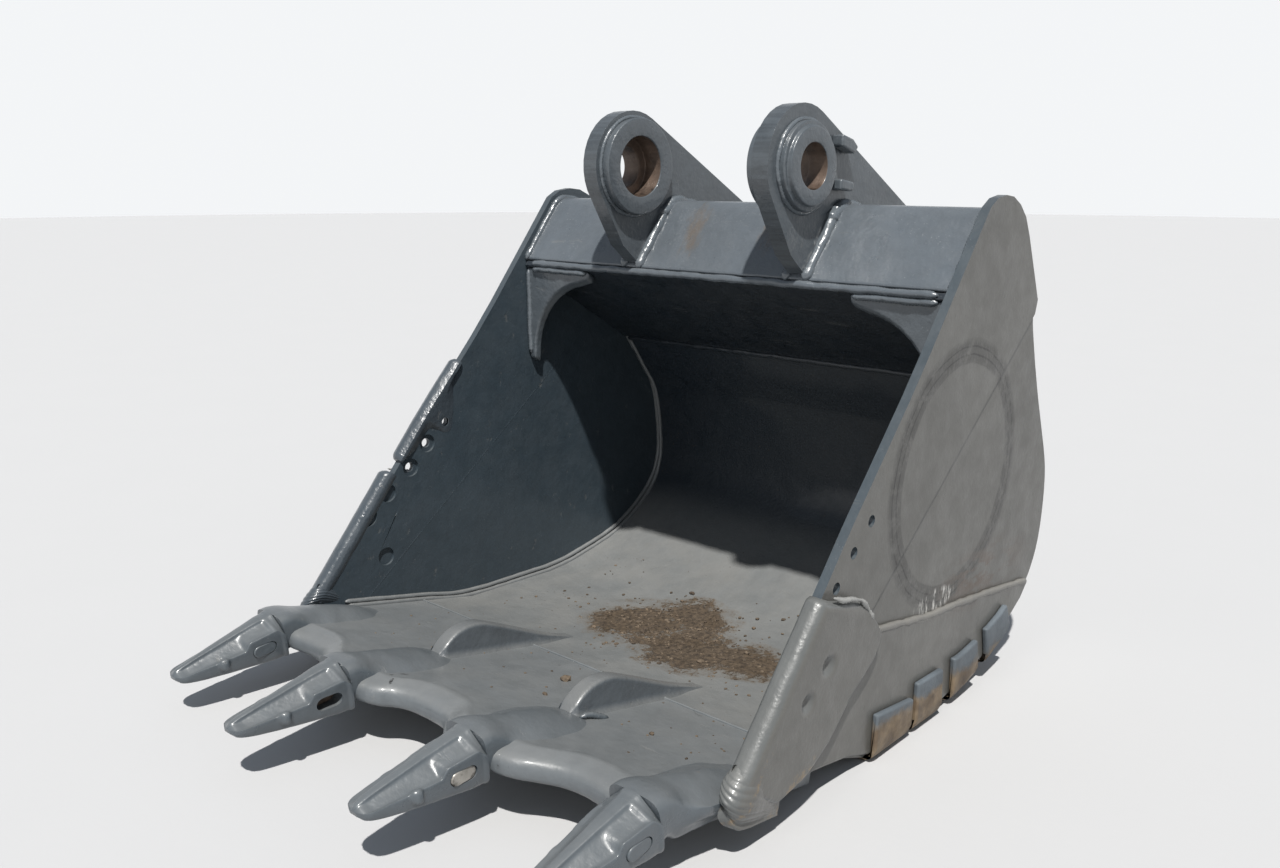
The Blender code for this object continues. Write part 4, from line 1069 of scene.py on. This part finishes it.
def build_soil():
    """Small irregular lumps, thick over the soil patch and thin towards the lip."""
    draw = random.Random(11)
    bm = bmesh.new()
    spots = []
    for _ in range(420):
        spots.append((draw.gauss(-0.02, 0.13), draw.gauss(0.02, 0.085), draw.uniform(0.001, 0.005)))
    for _ in range(150):
        spots.append((draw.uniform(-0.50, 0.50), draw.uniform(-0.62, 0.32),
                      draw.uniform(0.001, 0.0032)))
    for x, y, size in spots + LUMPS:
        centre = Vector((x, y, floor_height(y) + size * 0.25))
        made = bmesh.ops.create_icosphere(bm, subdivisions=1, radius=size)["verts"]
        squash = Vector((draw.uniform(0.8, 1.5), draw.uniform(0.8, 1.5), draw.uniform(0.5, 0.8)))
        for vert in made:
            bump = 1 + 0.35 * noise.noise(vert.co / size * 1.4 + Vector((x, y, 0)) * 50)
            vert.co = centre + vert.co * squash * bump
    mesh = bpy.data.meshes.new("soil_lumps")
    bm.to_mesh(mesh)
    bm.free()
    piece("soil_lumps", mesh, "soil", smooth_angle=20)


# ---- stage ----
TO_SUN = (0.316, -0.372, 0.874)
SKY = [(0.18, (0.900, 0.915, 0.930, 1.0)), (0.62, (0.200, 0.240, 0.300, 1.0))]


def build_floor():
    bpy.ops.mesh.primitive_circle_add(vertices=96, radius=30.0, fill_type="NGON")
    ground = bpy.context.object
    ground.name = "studio_floor"
    s = Shader("studio_floor")
    tone = s.mix(s.noise(3.0, 3.0), (0.402, 0.404, 0.408), (0.410, 0.412, 0.416))
    ground.data.materials.append(s.finish(tone, 0.7, s.noise(40.0), 0.0003))


def build_sky():
    """Pale all round at eye level, darker overhead."""
    world = bpy.data.worlds.new("studio")
    world.use_nodes = True
    tree = world.node_tree
    place = tree.nodes.new("ShaderNodeTexCoord")
    split = tree.nodes.new("ShaderNodeSeparateXYZ")
    ramp = tree.nodes.new("ShaderNodeValToRGB")
    ramp.color_ramp.interpolation = "EASE"
    for element, (position, colour) in zip(ramp.color_ramp.elements, SKY):
        element.position = position
        element.color = colour
    tree.links.new(place.outputs["Generated"], split.inputs["Vector"])
    tree.links.new(split.outputs["Z"], ramp.inputs["Fac"])
    tree.links.new(ramp.outputs["Color"], tree.nodes["Background"].inputs["Color"])
    bpy.context.scene.world = world


def build_sun():
    lamp = bpy.data.lights.new("key", "SUN")
    lamp.energy = 6.2
    lamp.angle = math.radians(1.5)
    lamp.color = (1.0, 0.975, 0.94)
    key = bpy.data.objects.new("key", lamp)
    key.rotation_euler = Vector(TO_SUN).to_track_quat("Z", "Y").to_euler()
    bpy.context.scene.collection.objects.link(key)


CAMERA_PLACE = (1.72881, -1.98588, 1.14702)
CAMERA_TURN = (math.radians(90 - 12.898), 0, math.radians(42.916))
FOCAL_LENGTH = 32.479


def build_camera():
    data = bpy.data.cameras.new("camera")
    data.sensor_width = 36.0
    data.lens = FOCAL_LENGTH
    camera = bpy.data.objects.new("camera", data)
    camera.location = CAMERA_PLACE
    camera.rotation_euler = CAMERA_TURN
    bpy.context.scene.collection.objects.link(camera)
    bpy.context.scene.camera = camera


build_plates()
build_edge_castings()
build_lip()
build_ribs()
build_teeth()
build_hubs()
build_welds()
build_soil()
build_floor()
build_sky()
build_sun()
build_camera()
bpy.context.scene.view_settings.view_transform = "Standard"

bpy.context.view_layer.update()
